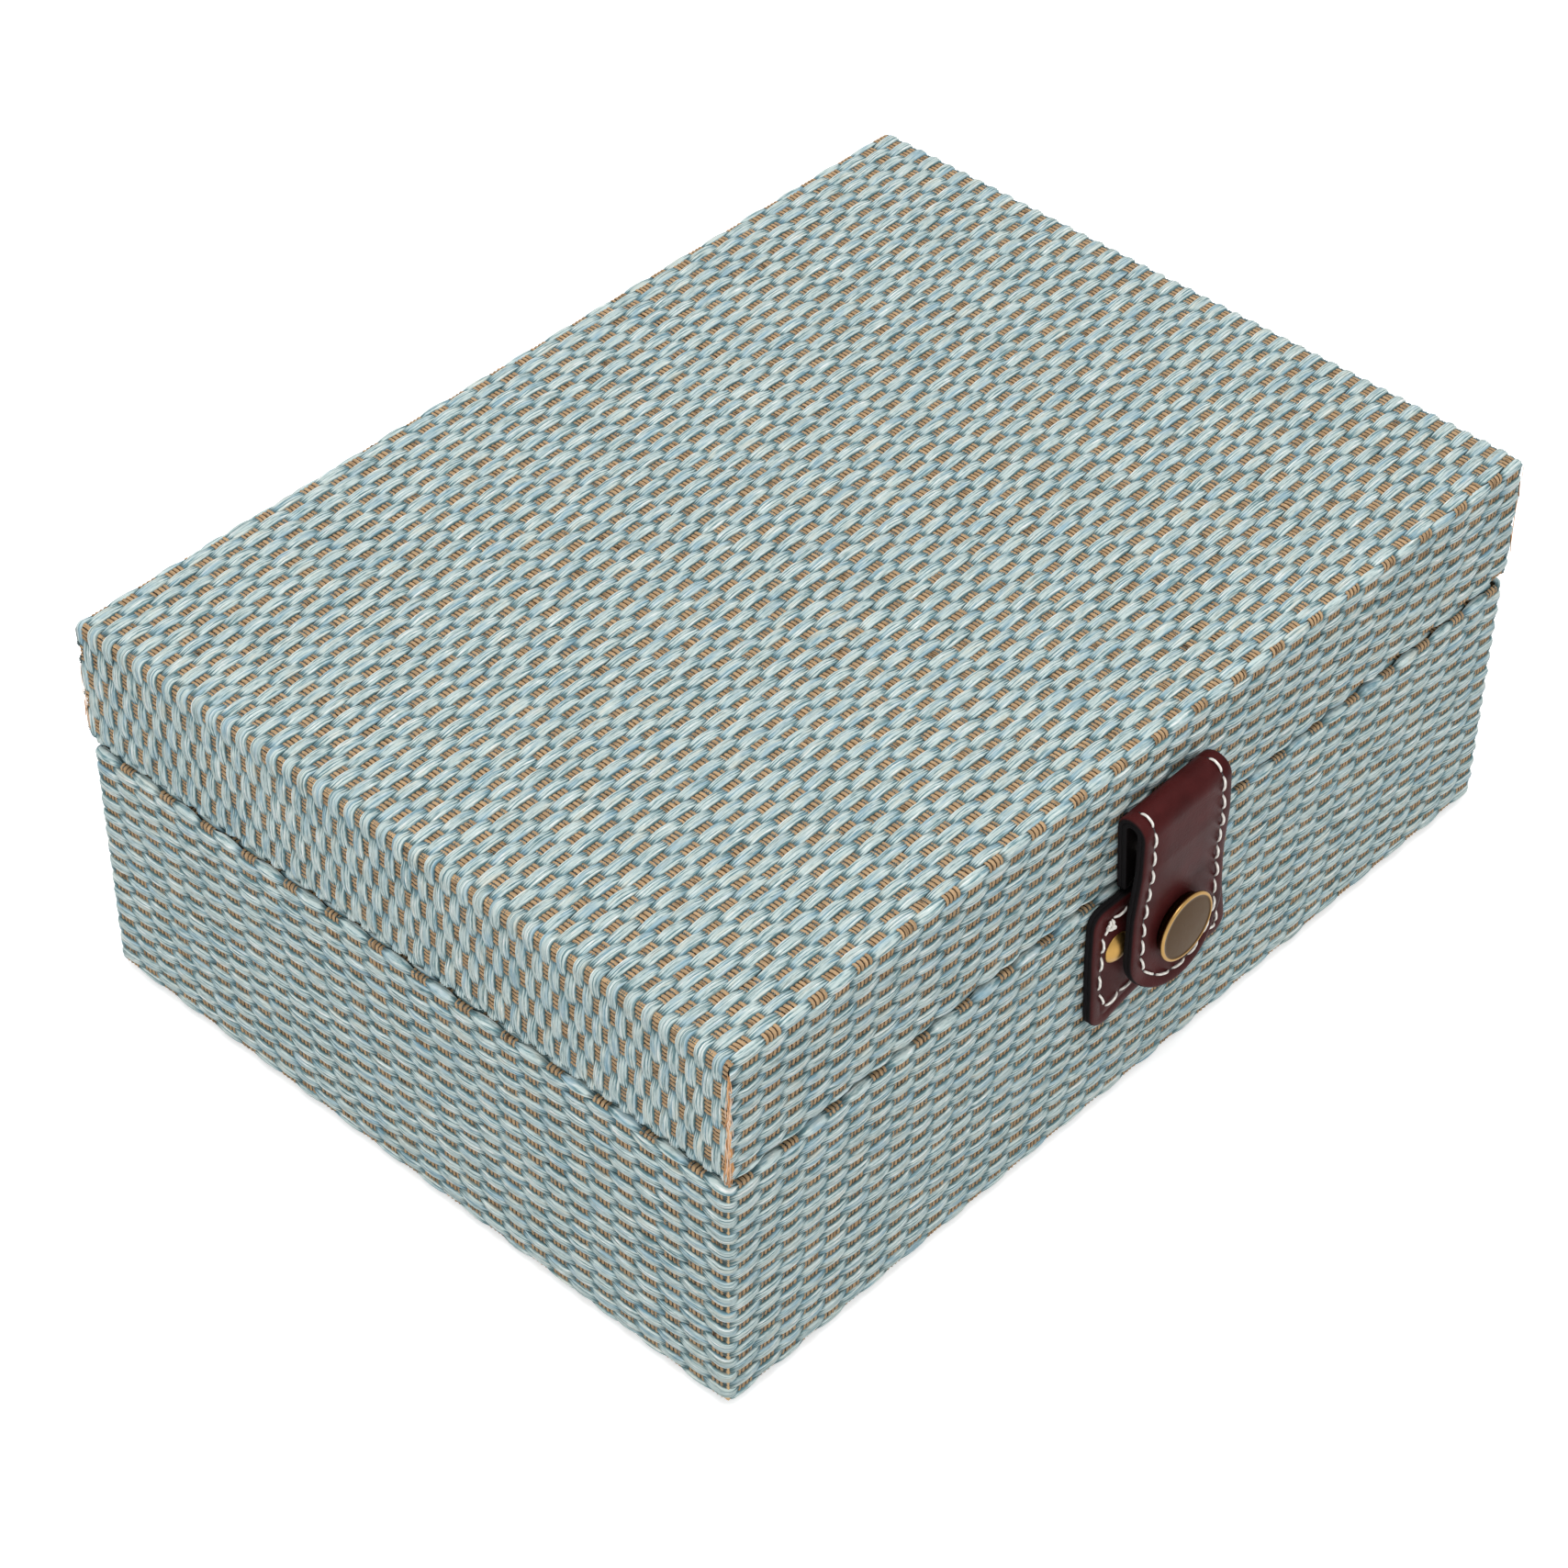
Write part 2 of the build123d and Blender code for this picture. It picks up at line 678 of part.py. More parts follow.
with BuildPart() as stud:
    disc(snap_plane.offset(stud_seat), stud_flange_radius, stud_flange_thickness)
    disc(snap_plane.offset(stud_seat), stud_neck_radius, stud_top - stud_seat)
    disc(snap_plane.offset(stud_top), stud_head_radius, -stud_head_height)
    disc(snap_plane.offset(stud_rivet_end), stud_rivet_radius + nail_fit, stud_seat - stud_rivet_end, Mode.SUBTRACT)
keep(stud, "snap_stud")

with BuildPart() as socket:
    disc(snap_plane.offset(socket_bottom), socket_radius, socket_top - socket_bottom)
    disc(snap_plane.offset(socket_bottom), socket_bore, socket_top - socket_roof - socket_bottom, Mode.SUBTRACT)
    disc(snap_plane.offset(socket_bottom), post_radius + nail_fit, socket_top - socket_bottom, Mode.SUBTRACT)
keep(socket, "snap_socket")

with BuildPart() as cap:
    disc(snap_plane.offset(waist_depth), cap_radius, cap_height)
    fillet(edges().sort_by(Axis.Y)[0], cap_edge_radius)
    fillet(edges().sort_by(Axis.Y)[-1], cap_foot_radius)
    disc(snap_plane.offset(waist_depth), post_radius, socket_top - socket_roof - waist_depth)
keep(cap, "snap_cap")
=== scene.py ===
"""Cloth-covered storage box with a leather snap strap, dressed over its CAD frame.

Lengths inside the shape functions are millimetres; meshes are written in metres.
+X runs to the right along the front, -Y is the front, +Z is up.
"""
from math import asin, cos, pi, radians, sin
from types import SimpleNamespace

import bmesh
import bpy
import numpy as np
from mathutils import Matrix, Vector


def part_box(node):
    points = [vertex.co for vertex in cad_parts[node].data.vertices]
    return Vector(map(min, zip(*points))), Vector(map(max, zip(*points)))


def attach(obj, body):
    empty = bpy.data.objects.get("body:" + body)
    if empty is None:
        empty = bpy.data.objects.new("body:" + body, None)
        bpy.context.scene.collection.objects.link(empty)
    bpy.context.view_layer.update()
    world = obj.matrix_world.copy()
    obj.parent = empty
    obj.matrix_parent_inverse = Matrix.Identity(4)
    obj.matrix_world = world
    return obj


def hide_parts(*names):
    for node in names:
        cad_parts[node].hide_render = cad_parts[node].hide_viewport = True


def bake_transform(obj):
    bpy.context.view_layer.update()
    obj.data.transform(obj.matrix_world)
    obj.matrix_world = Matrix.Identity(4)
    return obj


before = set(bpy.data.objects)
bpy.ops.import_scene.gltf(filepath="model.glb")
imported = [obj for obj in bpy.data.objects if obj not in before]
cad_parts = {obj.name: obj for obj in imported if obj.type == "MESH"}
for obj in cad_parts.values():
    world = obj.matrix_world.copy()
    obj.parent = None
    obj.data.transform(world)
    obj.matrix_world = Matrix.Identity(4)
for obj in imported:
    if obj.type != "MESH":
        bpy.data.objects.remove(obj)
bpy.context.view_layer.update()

bl_info = {
    "name": "Cloth-covered storage box",
    "version": (1, 0, 0),
    "blender": (4, 5, 0),
    "location": "3D View > Sidebar > Storage box",
    "description": "Builds a woven, board-backed box with a stitched leather strap",
    "category": "Add Mesh",
}

MM = 0.001
lid_low, lid_high = (np.array(corner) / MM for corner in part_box("lid_cover"))
base_low, base_high = (np.array(corner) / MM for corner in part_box("base_cover"))


# Settings

def hex_linear(text):
    """sRGB hex colour to linear values: each channel goes through the sRGB decoding curve."""
    channels = [int(text[i:i + 2], 16) / 255 for i in (1, 3, 5)]
    return [c / 12.92 if c <= 0.04045 else ((c + 0.055) / 1.055) ** 2.4 for c in channels]


def length(name, text, default):
    """A length property, from its default in millimetres."""
    return bpy.props.FloatProperty(
        name=name, description=text, default=default * MM, min=0.0, precision=5, unit="LENGTH"
    )


def colour(name, text, default):
    """A colour property, from an sRGB hex colour."""
    return bpy.props.FloatVectorProperty(
        name=name, description=text, default=hex_linear(default), subtype="COLOR", min=0.0, max=1.0
    )


def in_mm(group):
    """The values of a property group, with its lengths in millimetres."""
    values = {}
    for rna in group.bl_rna.properties:
        if rna.identifier not in ("rna_type", "name"):
            scale = 1 / MM if getattr(rna, "unit", "NONE") == "LENGTH" else 1
            value = getattr(group, rna.identifier)
            values[rna.identifier] = list(value) if rna.type == "FLOAT" and rna.is_array else value * scale
    return SimpleNamespace(**values)


class BoxSizes(bpy.types.PropertyGroup):
    """How the cloth lies on the lid and the base"""
    cloth: length("Cloth", "Height of the yarn crests over the glued side of the cloth", 1.1)
    corner: length("Corner radius", "Radius of the upright edges at the glued side of the cloth", 1.3)
    edge: length("Edge radius", "Radius of the top and bottom edges at the glued side", 0.9)
    rim: length("Rim radius", "Radius of the two rims at the glued side", 0.35)
    wall: length("Wall", "Width of the rims between the glued sides of the cloth", 6.2)
    turned_in: length("Turned in", "Cloth that is turned into the box at its rims", 4.9)
    turned_under: length("Turned under", "Cloth that is turned under the floor", 13.9)


class WeaveSizes(bpy.types.PropertyGroup):
    """Yarns of the cloth"""
    weft_pitch: length("Weft pitch", "Distance between weft yarns", 2.07)
    warp_pitch: length("Warp pitch", "Distance between groups of warp threads", 5.8)
    weft_width: length("Weft width", "Width of a weft yarn at its crest", 2.62)
    group_width: length("Group width", "Width of one group of warp threads", 4.1)
    threads: bpy.props.IntProperty(name="Threads", description="Warp threads in one group", default=4, min=1)
    lid_shift: length("Lid shift", "Sideways shift of the warp groups on the lid", 1.2)
    base_shift: length("Base shift", "Sideways shift of the warp groups on the base", 0.6)
    seed: bpy.props.IntProperty(name="Seed", description="Seed of the yarns' unevenness", default=11)


class ClaspSizes(bpy.types.PropertyGroup):
    """Leather and sewing of the strap and the tab"""
    leather: length("Leather", "Thickness of one layer of leather", 1.1)
    lean: bpy.props.FloatProperty(
        name="Lean", description="Turn of the strap about the snap", default=radians(2.5), subtype="ANGLE"
    )
    fold_radius: length("Fold radius", "Outer radius of the strap's fold", 3.65)
    thread: length("Thread", "Diameter of the sewing thread", 0.52)
    stitch: length("Stitch", "Length of one stitch", 4.25)
    margin: length("Margin", "Distance of the stitching from the edge", 2.7)


class Finishes(bpy.types.PropertyGroup):
    """Colours of cloth, leather, thread and lining"""
    weft: colour("Weft", "Pale teal of the weft yarns", "#C7D7D5")
    # Grey-blue streaks of the yarn, and painted shade in the valleys between its strands
    weft_deep: colour("Weft, deep", "Grey-blue between the strands", "#66888E")
    # Painted shade at the yarns' sides and where they dive under the warp
    weft_dark: colour("Weft, dark", "Shade where the yarns dive under the warp", "#342F26")
    # Pale streaks of the yarn, and a painted highlight along the strands' backs
    weft_light: colour("Weft, light", "Bleached backs of the strands", "#F2F5F3")
    weft_blue: colour("Weft, blue", "Blue where the dye pooled", "#85ACC0")
    weft_cream: colour("Weft, cream", "Undyed cotton that shows here and there", "#DFDBC9")
    warp: colour("Warp", "Tan of the warp threads", "#A48868")
    # Darker fibres, and painted shade in the valleys between the warp threads
    warp_dark: colour("Warp, dark", "Shaded sides of the warp threads", "#2C2016")
    leather: colour("Leather", "Burgundy of the leather", "#401818")
    leather_lining: colour("Leather lining", "Near-black brown of the inner layers", "#120E0E")
    leather_edge: colour("Cut edge", "Dyed cut edges of the leather", "#1A1819")
    thread: colour("Thread", "Waxed sewing thread", "#F8F4EC")
    lining: colour("Lining", "Cotton inside the box", "#C9BFA8")


class StorageBoxSettings(bpy.types.PropertyGroup):
    """All settings of the storage box"""
    box: bpy.props.PointerProperty(type=BoxSizes)
    weave: bpy.props.PointerProperty(type=WeaveSizes)
    clasp: bpy.props.PointerProperty(type=ClaspSizes)
    finish: bpy.props.PointerProperty(type=Finishes)


GROUPS = ("box", "weave", "clasp", "finish")


# Meshes

def unit(vectors):
    """Vectors divided by their lengths."""
    return vectors / np.maximum(np.linalg.norm(vectors, axis=-1, keepdims=True), 1e-9)


def lengths_along(line):
    """Length from the start of an open line to each of its points."""
    return np.concatenate([[0], np.cumsum(np.linalg.norm(np.diff(line, axis=0), axis=1))])


def new_piece(name, points, faces, material, uv=None, **attributes):
    """A smooth mesh piece at the origin from points in mm and faces, with a UV map and point attributes."""
    points = np.asarray(points, float).reshape(-1, 3)
    used, corners = np.unique(faces, return_inverse=True)
    corners = corners.astype(np.int32).ravel()
    count, sides = np.shape(faces)
    mesh = bpy.data.meshes.new(name)
    mesh.vertices.add(len(used))
    mesh.vertices.foreach_set("co", (points[used] * MM).astype(np.float32).ravel())
    mesh.loops.add(len(corners))
    mesh.loops.foreach_set("vertex_index", corners)
    mesh.polygons.add(count)
    mesh.polygons.foreach_set("loop_start", np.arange(0, len(corners), sides, dtype=np.int32))
    mesh.update(calc_edges=True)
    mesh.polygons.foreach_set("use_smooth", np.ones(count, bool))
    if uv is not None:
        layer = mesh.uv_layers.new(name="yarn")
        layer.data.foreach_set("uv", np.asarray(uv, np.float32).reshape(-1, 2)[used][corners].ravel())
    for key, values in attributes.items():
        data = mesh.attributes.new(key, "FLOAT", "POINT").data
        data.foreach_set("value", np.asarray(values, np.float32).ravel()[used])
    mesh.materials.append(material)
    mesh.validate()
    piece = bpy.data.objects.new(name, mesh)
    bpy.context.scene.collection.objects.link(piece)
    return piece


def settle(piece, body, slot, *nodes):
    """Sets what a piece rides on, if that is one body, and hides the CAD nodes it stands for. The slot is not
    used.
    """
    if body:
        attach(piece, body)
    if nodes:
        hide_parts(*nodes)
    return piece


def weld(piece, recalculate=True):
    """Merges the points of seams and poles, and turns the faces of a closed piece outwards."""
    mesh = bmesh.new()
    mesh.from_mesh(piece.data)
    bmesh.ops.remove_doubles(mesh, verts=mesh.verts, dist=0.002 * MM)
    if recalculate:
        bmesh.ops.recalc_face_normals(mesh, faces=mesh.faces)
    mesh.to_mesh(piece.data)
    mesh.free()
    return piece


def grid_faces(rows, columns, wrap_columns=False):
    """Quads of a grid of rows by columns points, optionally with its columns closed to a ring."""
    column_count = columns if wrap_columns else columns - 1
    r, c = np.meshgrid(np.arange(rows - 1), np.arange(column_count), indexing="ij")
    next_c = (c + 1) % columns
    quads = [r * columns + c, r * columns + next_c, (r + 1) * columns + next_c, (r + 1) * columns + c]
    return np.stack(quads, -1).reshape(-1, 4)


def tube_faces(count, samples, sides):
    """Quads of count open tubes, each with samples rings of sides points."""
    faces = grid_faces(count * samples, sides, wrap_columns=True)
    return faces[(faces[:, 0] // sides) % samples < samples - 1]


def join(parts):
    """Several (points, faces, ...) tuples as one: faces are shifted by the number of points before them."""
    shift, points, faces, extras = 0, [], [], [[] for _ in parts[0][2:]]
    for part in parts:
        points.append(np.asarray(part[0]).reshape(-1, 3))
        faces.append(part[1] + shift)
        shift += len(points[-1])
        for store, values in zip(extras, part[2:]):
            store.append(np.asarray(values).reshape(len(points[-1]), -1))
    return [np.concatenate(store) for store in (points, faces, *extras)]


ARC_POINTS = 9


def rounded_path(corners, radii, turn=1.0):
    """A path of straight runs joined by circle arcs: its lengths, points and normals. A normal is the
    direction turned by 90 degrees, to the left where turn is 1 and to the right where it is -1."""
    corners = np.asarray(corners, float)
    runs = unit(np.diff(corners, axis=0))
    points, normals = [corners[0]], [turn * np.array([-runs[0][1], runs[0][0]])]
    for corner, before, after, radius in zip(corners[1:-1], runs[:-1], runs[1:], radii):
        bend = np.arctan2(before[0] * after[1] - before[1] * after[0], before @ after)
        reach = radius * np.tan(abs(bend) / 2)
        side = np.sign(bend) * np.array([-before[1], before[0]])
        angle = np.linspace(0, abs(bend), ARC_POINTS)[:, None]
        start = corner - before * reach
        points.extend(start + before * radius * np.sin(angle) + side * radius * (1 - np.cos(angle)))
        heading = before * np.cos(angle) + side * np.sin(angle)
        normals.extend(turn * np.stack([-heading[:, 1], heading[:, 0]], 1))
    points.append(corners[-1])
    normals.append(turn * np.array([-runs[-1][1], runs[-1][0]]))
    return lengths_along(points), np.array(points), np.array(normals)


def along(path, s):
    """Points and normals of a path at lengths s, by linear interpolation."""
    lengths, points, normals = path
    return [[np.interp(s, lengths, values[:, i]) for i in (0, 1)] for values in (points, normals)]


# Places of cloth on the box: each turns (u, v, h) into a point, h being the height over the glued side

def lid_place(box):
    """Cloth folded down over the lid on four sides. The fold along u is carried by x and z, the one along v
    by y and z, z falls by the root of the two drops' squares, and h goes along the sum of both normals."""
    top = lid_high[2] - box.cloth
    drop = lid_low[2] + box.cloth - top

    def fold(half):
        """Half a section of the lid: over the top, down the side, under the rim and up inside."""
        inner = half - box.wall
        corners = [(0, 0), (half, 0), (half, drop), (inner, drop), (inner, drop + box.turned_in)]
        return rounded_path(corners, [box.edge, box.rim, box.rim])

    fold_x, fold_y = fold(lid_high[0] - box.cloth), fold(lid_high[1] - box.cloth)

    def place(u, v, h):
        """The point at u across, v along and h over the glued side."""
        (x, down_x), (nx, kx) = along(fold_x, np.abs(u))
        (y, down_y), (ny, ky) = along(fold_y, np.abs(v))
        normal = unit(np.stack(np.broadcast_arrays(nx * np.sign(u), ny * np.sign(v), kx * ky), -1))
        at = np.broadcast_arrays(x * np.sign(u), y * np.sign(v), top - np.hypot(down_x, down_y))
        return np.stack(at, -1) + np.asarray(h)[..., None] * normal

    return place


def base_place(box):
    """Cloth wrapped round the base. u runs round a rectangle with circular corners, from the middle of the
    back; v climbs a section from under the floor, up the side and over the rim. The section's reach is laid
    off along the rectangle's normal, and h along the section's own normal."""
    x, y = base_high[:2] - box.cloth
    ring = rounded_path([(0, y), (-x, y), (-x, -y), (x, -y), (x, y), (0, y)], [box.corner] * 4, turn=-1.0)
    bottom, top = base_low[2] + box.cloth, base_high[2] - box.cloth
    corners = [(-box.turned_under, bottom), (0, bottom), (0, top), (-box.wall, top)]
    corners.append((-box.wall, top - box.turned_in))
    section = rounded_path(corners, [box.edge, box.rim, box.rim], turn=-1.0)

    def place(u, v, h):
        """The point at u round the base, v up the section and h over the glued side."""
        (x, y), (nx, ny) = along(ring, np.mod(u, ring[0][-1]))
        (reach, z), (out, up) = along(section, v)
        reach, z = reach + h * out, z + h * up
        return np.stack(np.broadcast_arrays(x + reach * nx, y + reach * ny, z), -1)

    return place, ring, section


# Yarns

# A weft yarn's section: places across its half width, heights in mm, and depth between the strands, 0 on a
# back, 1 in a valley and 2 at the yarn's sides. The depth paints shade into the yarn's colour: painted shade
# in the valleys, darkest at the sides, and a painted highlight on the backs
STRANDS = np.array([-1.0, -0.9, -0.68, -0.46, -0.22, 0.02, 0.25, 0.47, 0.7, 0.9, 1.0])
ARCH = np.array([-0.70, -0.12, 0.26, 0.07, 0.41, 0.16, 0.43, 0.10, 0.28, -0.12, -0.70])
VALLEY = np.array([2.0, 1.2, 0.0, 1.0, 0.0, 1.0, 0.0, 1.0, 0.0, 1.2, 2.0])
# Heights over the glued side in mm: a yarn's middle and its swing, a warp thread's ridge and the valley
# beside it, and the glued sheet under the yarns
WEFT_MIDDLE, WEFT_SWING = 0.305, 0.335
WARP_MIDDLE, WARP_SWING = 0.15, 0.16
THREAD_RIDGE, THREAD_VALLEY = 0.11, -0.13
UNDER_YARNS = 0.05
# How uneven yarns are: shares of the width for width, of half of it for strand, a slope for roll, else mm
WEFT_UNEVEN = SimpleNamespace(width=0.08, height=0.04, sway=0.13, roll=0.10, strand=0.10, strand_height=0.06)
WARP_UNEVEN = SimpleNamespace(width=0.05, lean=0.12, thread=0.05, thread_height=0.03)
# At a fold the rows rise less by the share CALM, and the warp more; both fade over these distances in mm
CALM, CALM_REACH, RAISED_REACH = 0.85, 2.2, 2.0
# Painted shade: a weft yarn grows darker by DIVE once its lift falls under DIVE_START, where it dives under
# the warp
DIVE, DIVE_START = 1.9, 0.15
# Yarns are shifted on their UV map by up to this many mm, so that each shows another part of the pattern
FAR_APART = 900
# The drift's waves close after this length round the base, in mm
WANDER_ROUND = 788.97


def bell(distance, reach):
    """1 where the distance is 0, falling off as a bell curve over the reach."""
    return np.exp(-(distance / reach) ** 2)


def crowd(low, high, step, dense, dense_step):
    """Sample places from low to high every step, with closer ones inside the dense intervals. Places that
    fall nearly together, nearer than 0.45 of the dense step, are merged."""
    samples = [np.arange(np.ceil(low / step), np.floor(high / step) + 1) * step, [low, high]]
    for start, end in dense:
        samples.append(np.arange(start, end + dense_step / 2, dense_step))
    merged = np.unique(np.round(np.concatenate(samples), 4))
    merged = merged[(merged >= low) & (merged <= high)]
    return merged[np.concatenate([[True], np.diff(merged) > dense_step * 0.45])]


def smooth_noise(rng, rows, s, knot, around=None):
    """Per-row noise along s: random values at knots, joined by lines, and closed after the length around."""
    first = np.floor(s / knot + 1e-6).astype(int)
    share = s / knot - first
    first -= first.min()
    count = round(around / knot) if around else first.max() + 2
    table = rng.uniform(-1, 1, (rows, count))
    return table[:, first % count] * (1 - share) + table[:, (first + 1) % count] * share


def drift(u, v):
    """Slow wander of the rows: a sum of long sines in u and v, whole numbers of them round the base."""
    turn = u * 2 * pi / WANDER_ROUND
    middling, short, long = 5 * turn + v / 19, 12 * turn - v / 13 + 1.7, 2 * turn + v / 31
    return 0.2 * np.sin(middling) + 0.14 * np.sin(short) + 0.3 * np.sin(long)


def yarn_faces(s, low, high, width):
    """Quads of yarns sampled at s as rings of width points, each yarn from its low to its high."""
    samples = len(s)
    faces = tube_faces(len(low), samples, width)
    yarn, sample = np.divmod(faces[:, 0] // width, samples)
    return faces[(s[sample + 1] > low[yarn] + 1e-6) & (s[sample] < high[yarn] - 1e-6)]


def weft_yarns(place, cloth, rows, parity, u, low, high, width, slack, around=None):
    """Weft yarns of a plain weave. Yarn j follows v = rows[j]; its middle rises and falls as a cosine of u
    with the period of two warp groups, shifted by half a period from row to row; its width swells over a
    group and narrows under one; its section is an arch with strand ridges. Rows on a fold of the box are
    pulled straight: they rise less by a bell curve of their distance from it. Returns points, faces, UVs and
    shade values, which paint shade into the yarn's colour between its strands and at its sides, and are
    largest where the yarn dives."""
    rng, count, strands = cloth.rng, len(rows), len(STRANDS)

    def noise(scale):
        """Unevenness along each yarn, drawn anew every half period."""
        return scale * smooth_noise(rng, count, u, cloth.period / 2, around)

    calm = CALM * bell(np.abs(rows) - cloth.fold, CALM_REACH)[:, None]
    rows, parity = rows[:, None], parity[:, None]
    along_u = np.clip(u[None, :], low[:, None], high[:, None])
    lift = np.cos(2 * pi * (along_u - cloth.shift) / cloth.period + pi * parity)
    wide = width * (0.88 + 0.12 * lift) * (1 + noise(WEFT_UNEVEN.width))
    swing = np.where(lift > 0, WEFT_SWING * (1 - calm), WEFT_SWING)
    middle = WEFT_MIDDLE + swing * np.sign(lift) * np.abs(lift) ** 0.65 + noise(WEFT_UNEVEN.height)
    sway = rows + slack * drift(along_u, rows) + noise(WEFT_UNEVEN.sway)
    roll = noise(WEFT_UNEVEN.roll)
    by_strand = (smooth_noise(rng, count * strands, u, cloth.period / 2, around) for _ in range(2))
    wander, uneven = (np.moveaxis(values.reshape(count, strands, -1), 1, 2) for values in by_strand)
    free = 1 - np.abs(STRANDS) ** 6
    across = (STRANDS + WEFT_UNEVEN.strand * free * wander) * wide[..., None] / 2
    height = middle[..., None] + ARCH * (0.80 + 0.26 * lift[..., None])
    height = height + WEFT_UNEVEN.strand_height * free * uneven
    height = height + roll[..., None] * across
    points = place(along_u[..., None], sway[..., None] + across, height)
    shift = rng.uniform(0, FAR_APART, (count, 1, 1))
    uv = np.stack(np.broadcast_arrays(along_u[..., None] + shift, across + 5 * shift), -1)
    # Painted shade: the depth between the strands and the dive darken the yarn's colour
    tint = VALLEY + DIVE * np.clip(DIVE_START - lift, 0, 1)[..., None]
    return points, yarn_faces(u, low, high, strands)[:, ::-1], uv, tint


def warp_threads(place, cloth, groups, parity, v, low, high, phase, slack, raised):
    """Warp groups of a plain weave. Group i lies about u = groups[i] as side by side threads; its middle
    rises and falls as a cosine of v with the period of two weft rows, against the weft, and is raised by a
    bell curve at the folds of the box. Returns points, faces, UVs and shade values, 1 on the threads' ridges
    and 0 in the valleys, which get painted shade."""
    rng, count, edges = cloth.rng, len(groups), 2 * cloth.weave.threads + 1
    ridge = np.where(np.arange(edges) % 2 == 1, THREAD_RIDGE, THREAD_VALLEY)
    groups, parity = groups[:, None], parity[:, None]
    along_v = np.clip(v[None, :], low[:, None], high[:, None])
    lift = -np.cos(pi * (along_v - phase) / cloth.pitch + pi * parity)
    middle = WARP_MIDDLE + WARP_SWING * lift + raised * bell(np.abs(along_v) - cloth.fold, RAISED_REACH)
    wide = cloth.weave.group_width * (1 + WARP_UNEVEN.width * smooth_noise(rng, count, v, 4 * cloth.pitch))
    lean = WARP_UNEVEN.lean * smooth_noise(rng, count, v, 3 * cloth.pitch)
    across = np.linspace(-1, 1, edges) * wide[..., None] / 2
    across = across + rng.normal(0, WARP_UNEVEN.thread, (count, 1, edges))
    height = middle[..., None] + ridge + rng.normal(0, WARP_UNEVEN.thread_height, (count, 1, edges))
    u = groups[..., None] + lean[..., None] + across
    v_here = along_v[..., None] + slack * drift(u, along_v[..., None])
    points = place(u, np.clip(v_here, low[:, None, None], high[:, None, None]), height)
    shift = rng.uniform(0, FAR_APART, (count, 1, 1))
    uv = np.stack(np.broadcast_arrays(across + shift, along_v[..., None] + 3 * shift), -1)
    return points, yarn_faces(v, low, high, edges), uv, np.broadcast_to(ridge > 0, across.shape)


def tubes(lines, radius, sides):
    """Tubes about middle lines: each ring is a circle in the plane of the line's two normals, and the ends
    taper to points. Returns points, faces and the distance along and around."""
    count, samples = lines.shape[:2]
    heading = unit(np.gradient(lines, axis=1))
    slanted = np.array([0.31, 0.17, 0.93])
    side = unit(np.cross(heading, slanted))
    up = np.cross(heading, side)
    angle = np.arange(sides) * 2 * pi / sides
    taper = np.sqrt(np.clip(1 - np.abs(np.linspace(-1, 1, samples)) ** 8, 0, 1))
    reach = (radius * taper * np.ones((count, 1)))[..., None, None]
    ring = side[:, :, None, :] * np.cos(angle)[:, None] + up[:, :, None, :] * np.sin(angle)[:, None]
    steps = np.linalg.norm(np.diff(lines, axis=1, prepend=lines[:, :1]), axis=-1).cumsum(axis=1)
    uv = np.stack(np.broadcast_arrays(steps[..., None], angle * np.mean(radius)), -1)
    return lines[:, :, None, :] + reach * ring, tube_faces(count, samples, sides), uv


# Materials

def add_node(tree, kind, inputs=None, output=0, stops=(), **settings):
    """Adds a shader node with its settings and gives one of its outputs. An input that is a socket is linked,
    and any other value is set on the node; stops are the places and colours of a colour ramp."""
    made = tree.nodes.new("ShaderNode" + kind)
    for key, value in settings.items():
        setattr(made, key, value)
    for key, value in (inputs or {}).items():
        socket = made.inputs[key]
        if isinstance(value, bpy.types.NodeSocket):
            tree.links.new(value, socket)
        else:
            socket.default_value = (*value[:3], 1.0) if socket.type == "RGBA" else value
    if stops:
        elements = made.color_ramp.elements
        while len(elements) < len(stops):
            elements.new(0.5)
        for element, (position, tone) in zip(elements, stops):
            element.position = position
            element.color = (*tone, 1.0)
    return made.outputs[output] if len(made.outputs) else None


def cleared(owner):
    """The emptied node tree of a material or a world."""
    owner.use_nodes = True
    owner.node_tree.nodes.clear()
    return owner.node_tree


def new_material(name, look, *choices):
    """A material whose principled shader takes the inputs that a look gives."""
    material = bpy.data.materials.new(name)
    tree = cleared(material)
    shader = add_node(tree, "BsdfPrincipled", look(tree, *choices))
    add_node(tree, "OutputMaterial", {"Surface": shader})
    return material


def times(factor, tone):
    """A linear colour made lighter or darker."""
    return [factor * channel for channel in tone]


# Patterns on the yarns' own UV map, whose unit is a millimetre, have their scale per millimetre, and those
# on Object coordinates, whose unit is a metre, have it per millimetre divided by MM. A mix takes its share
# and its two colours at these inputs
MIX = {"output": 2, "data_type": "RGBA"}
SHARE, FIRST, SECOND = 0, 6, 7


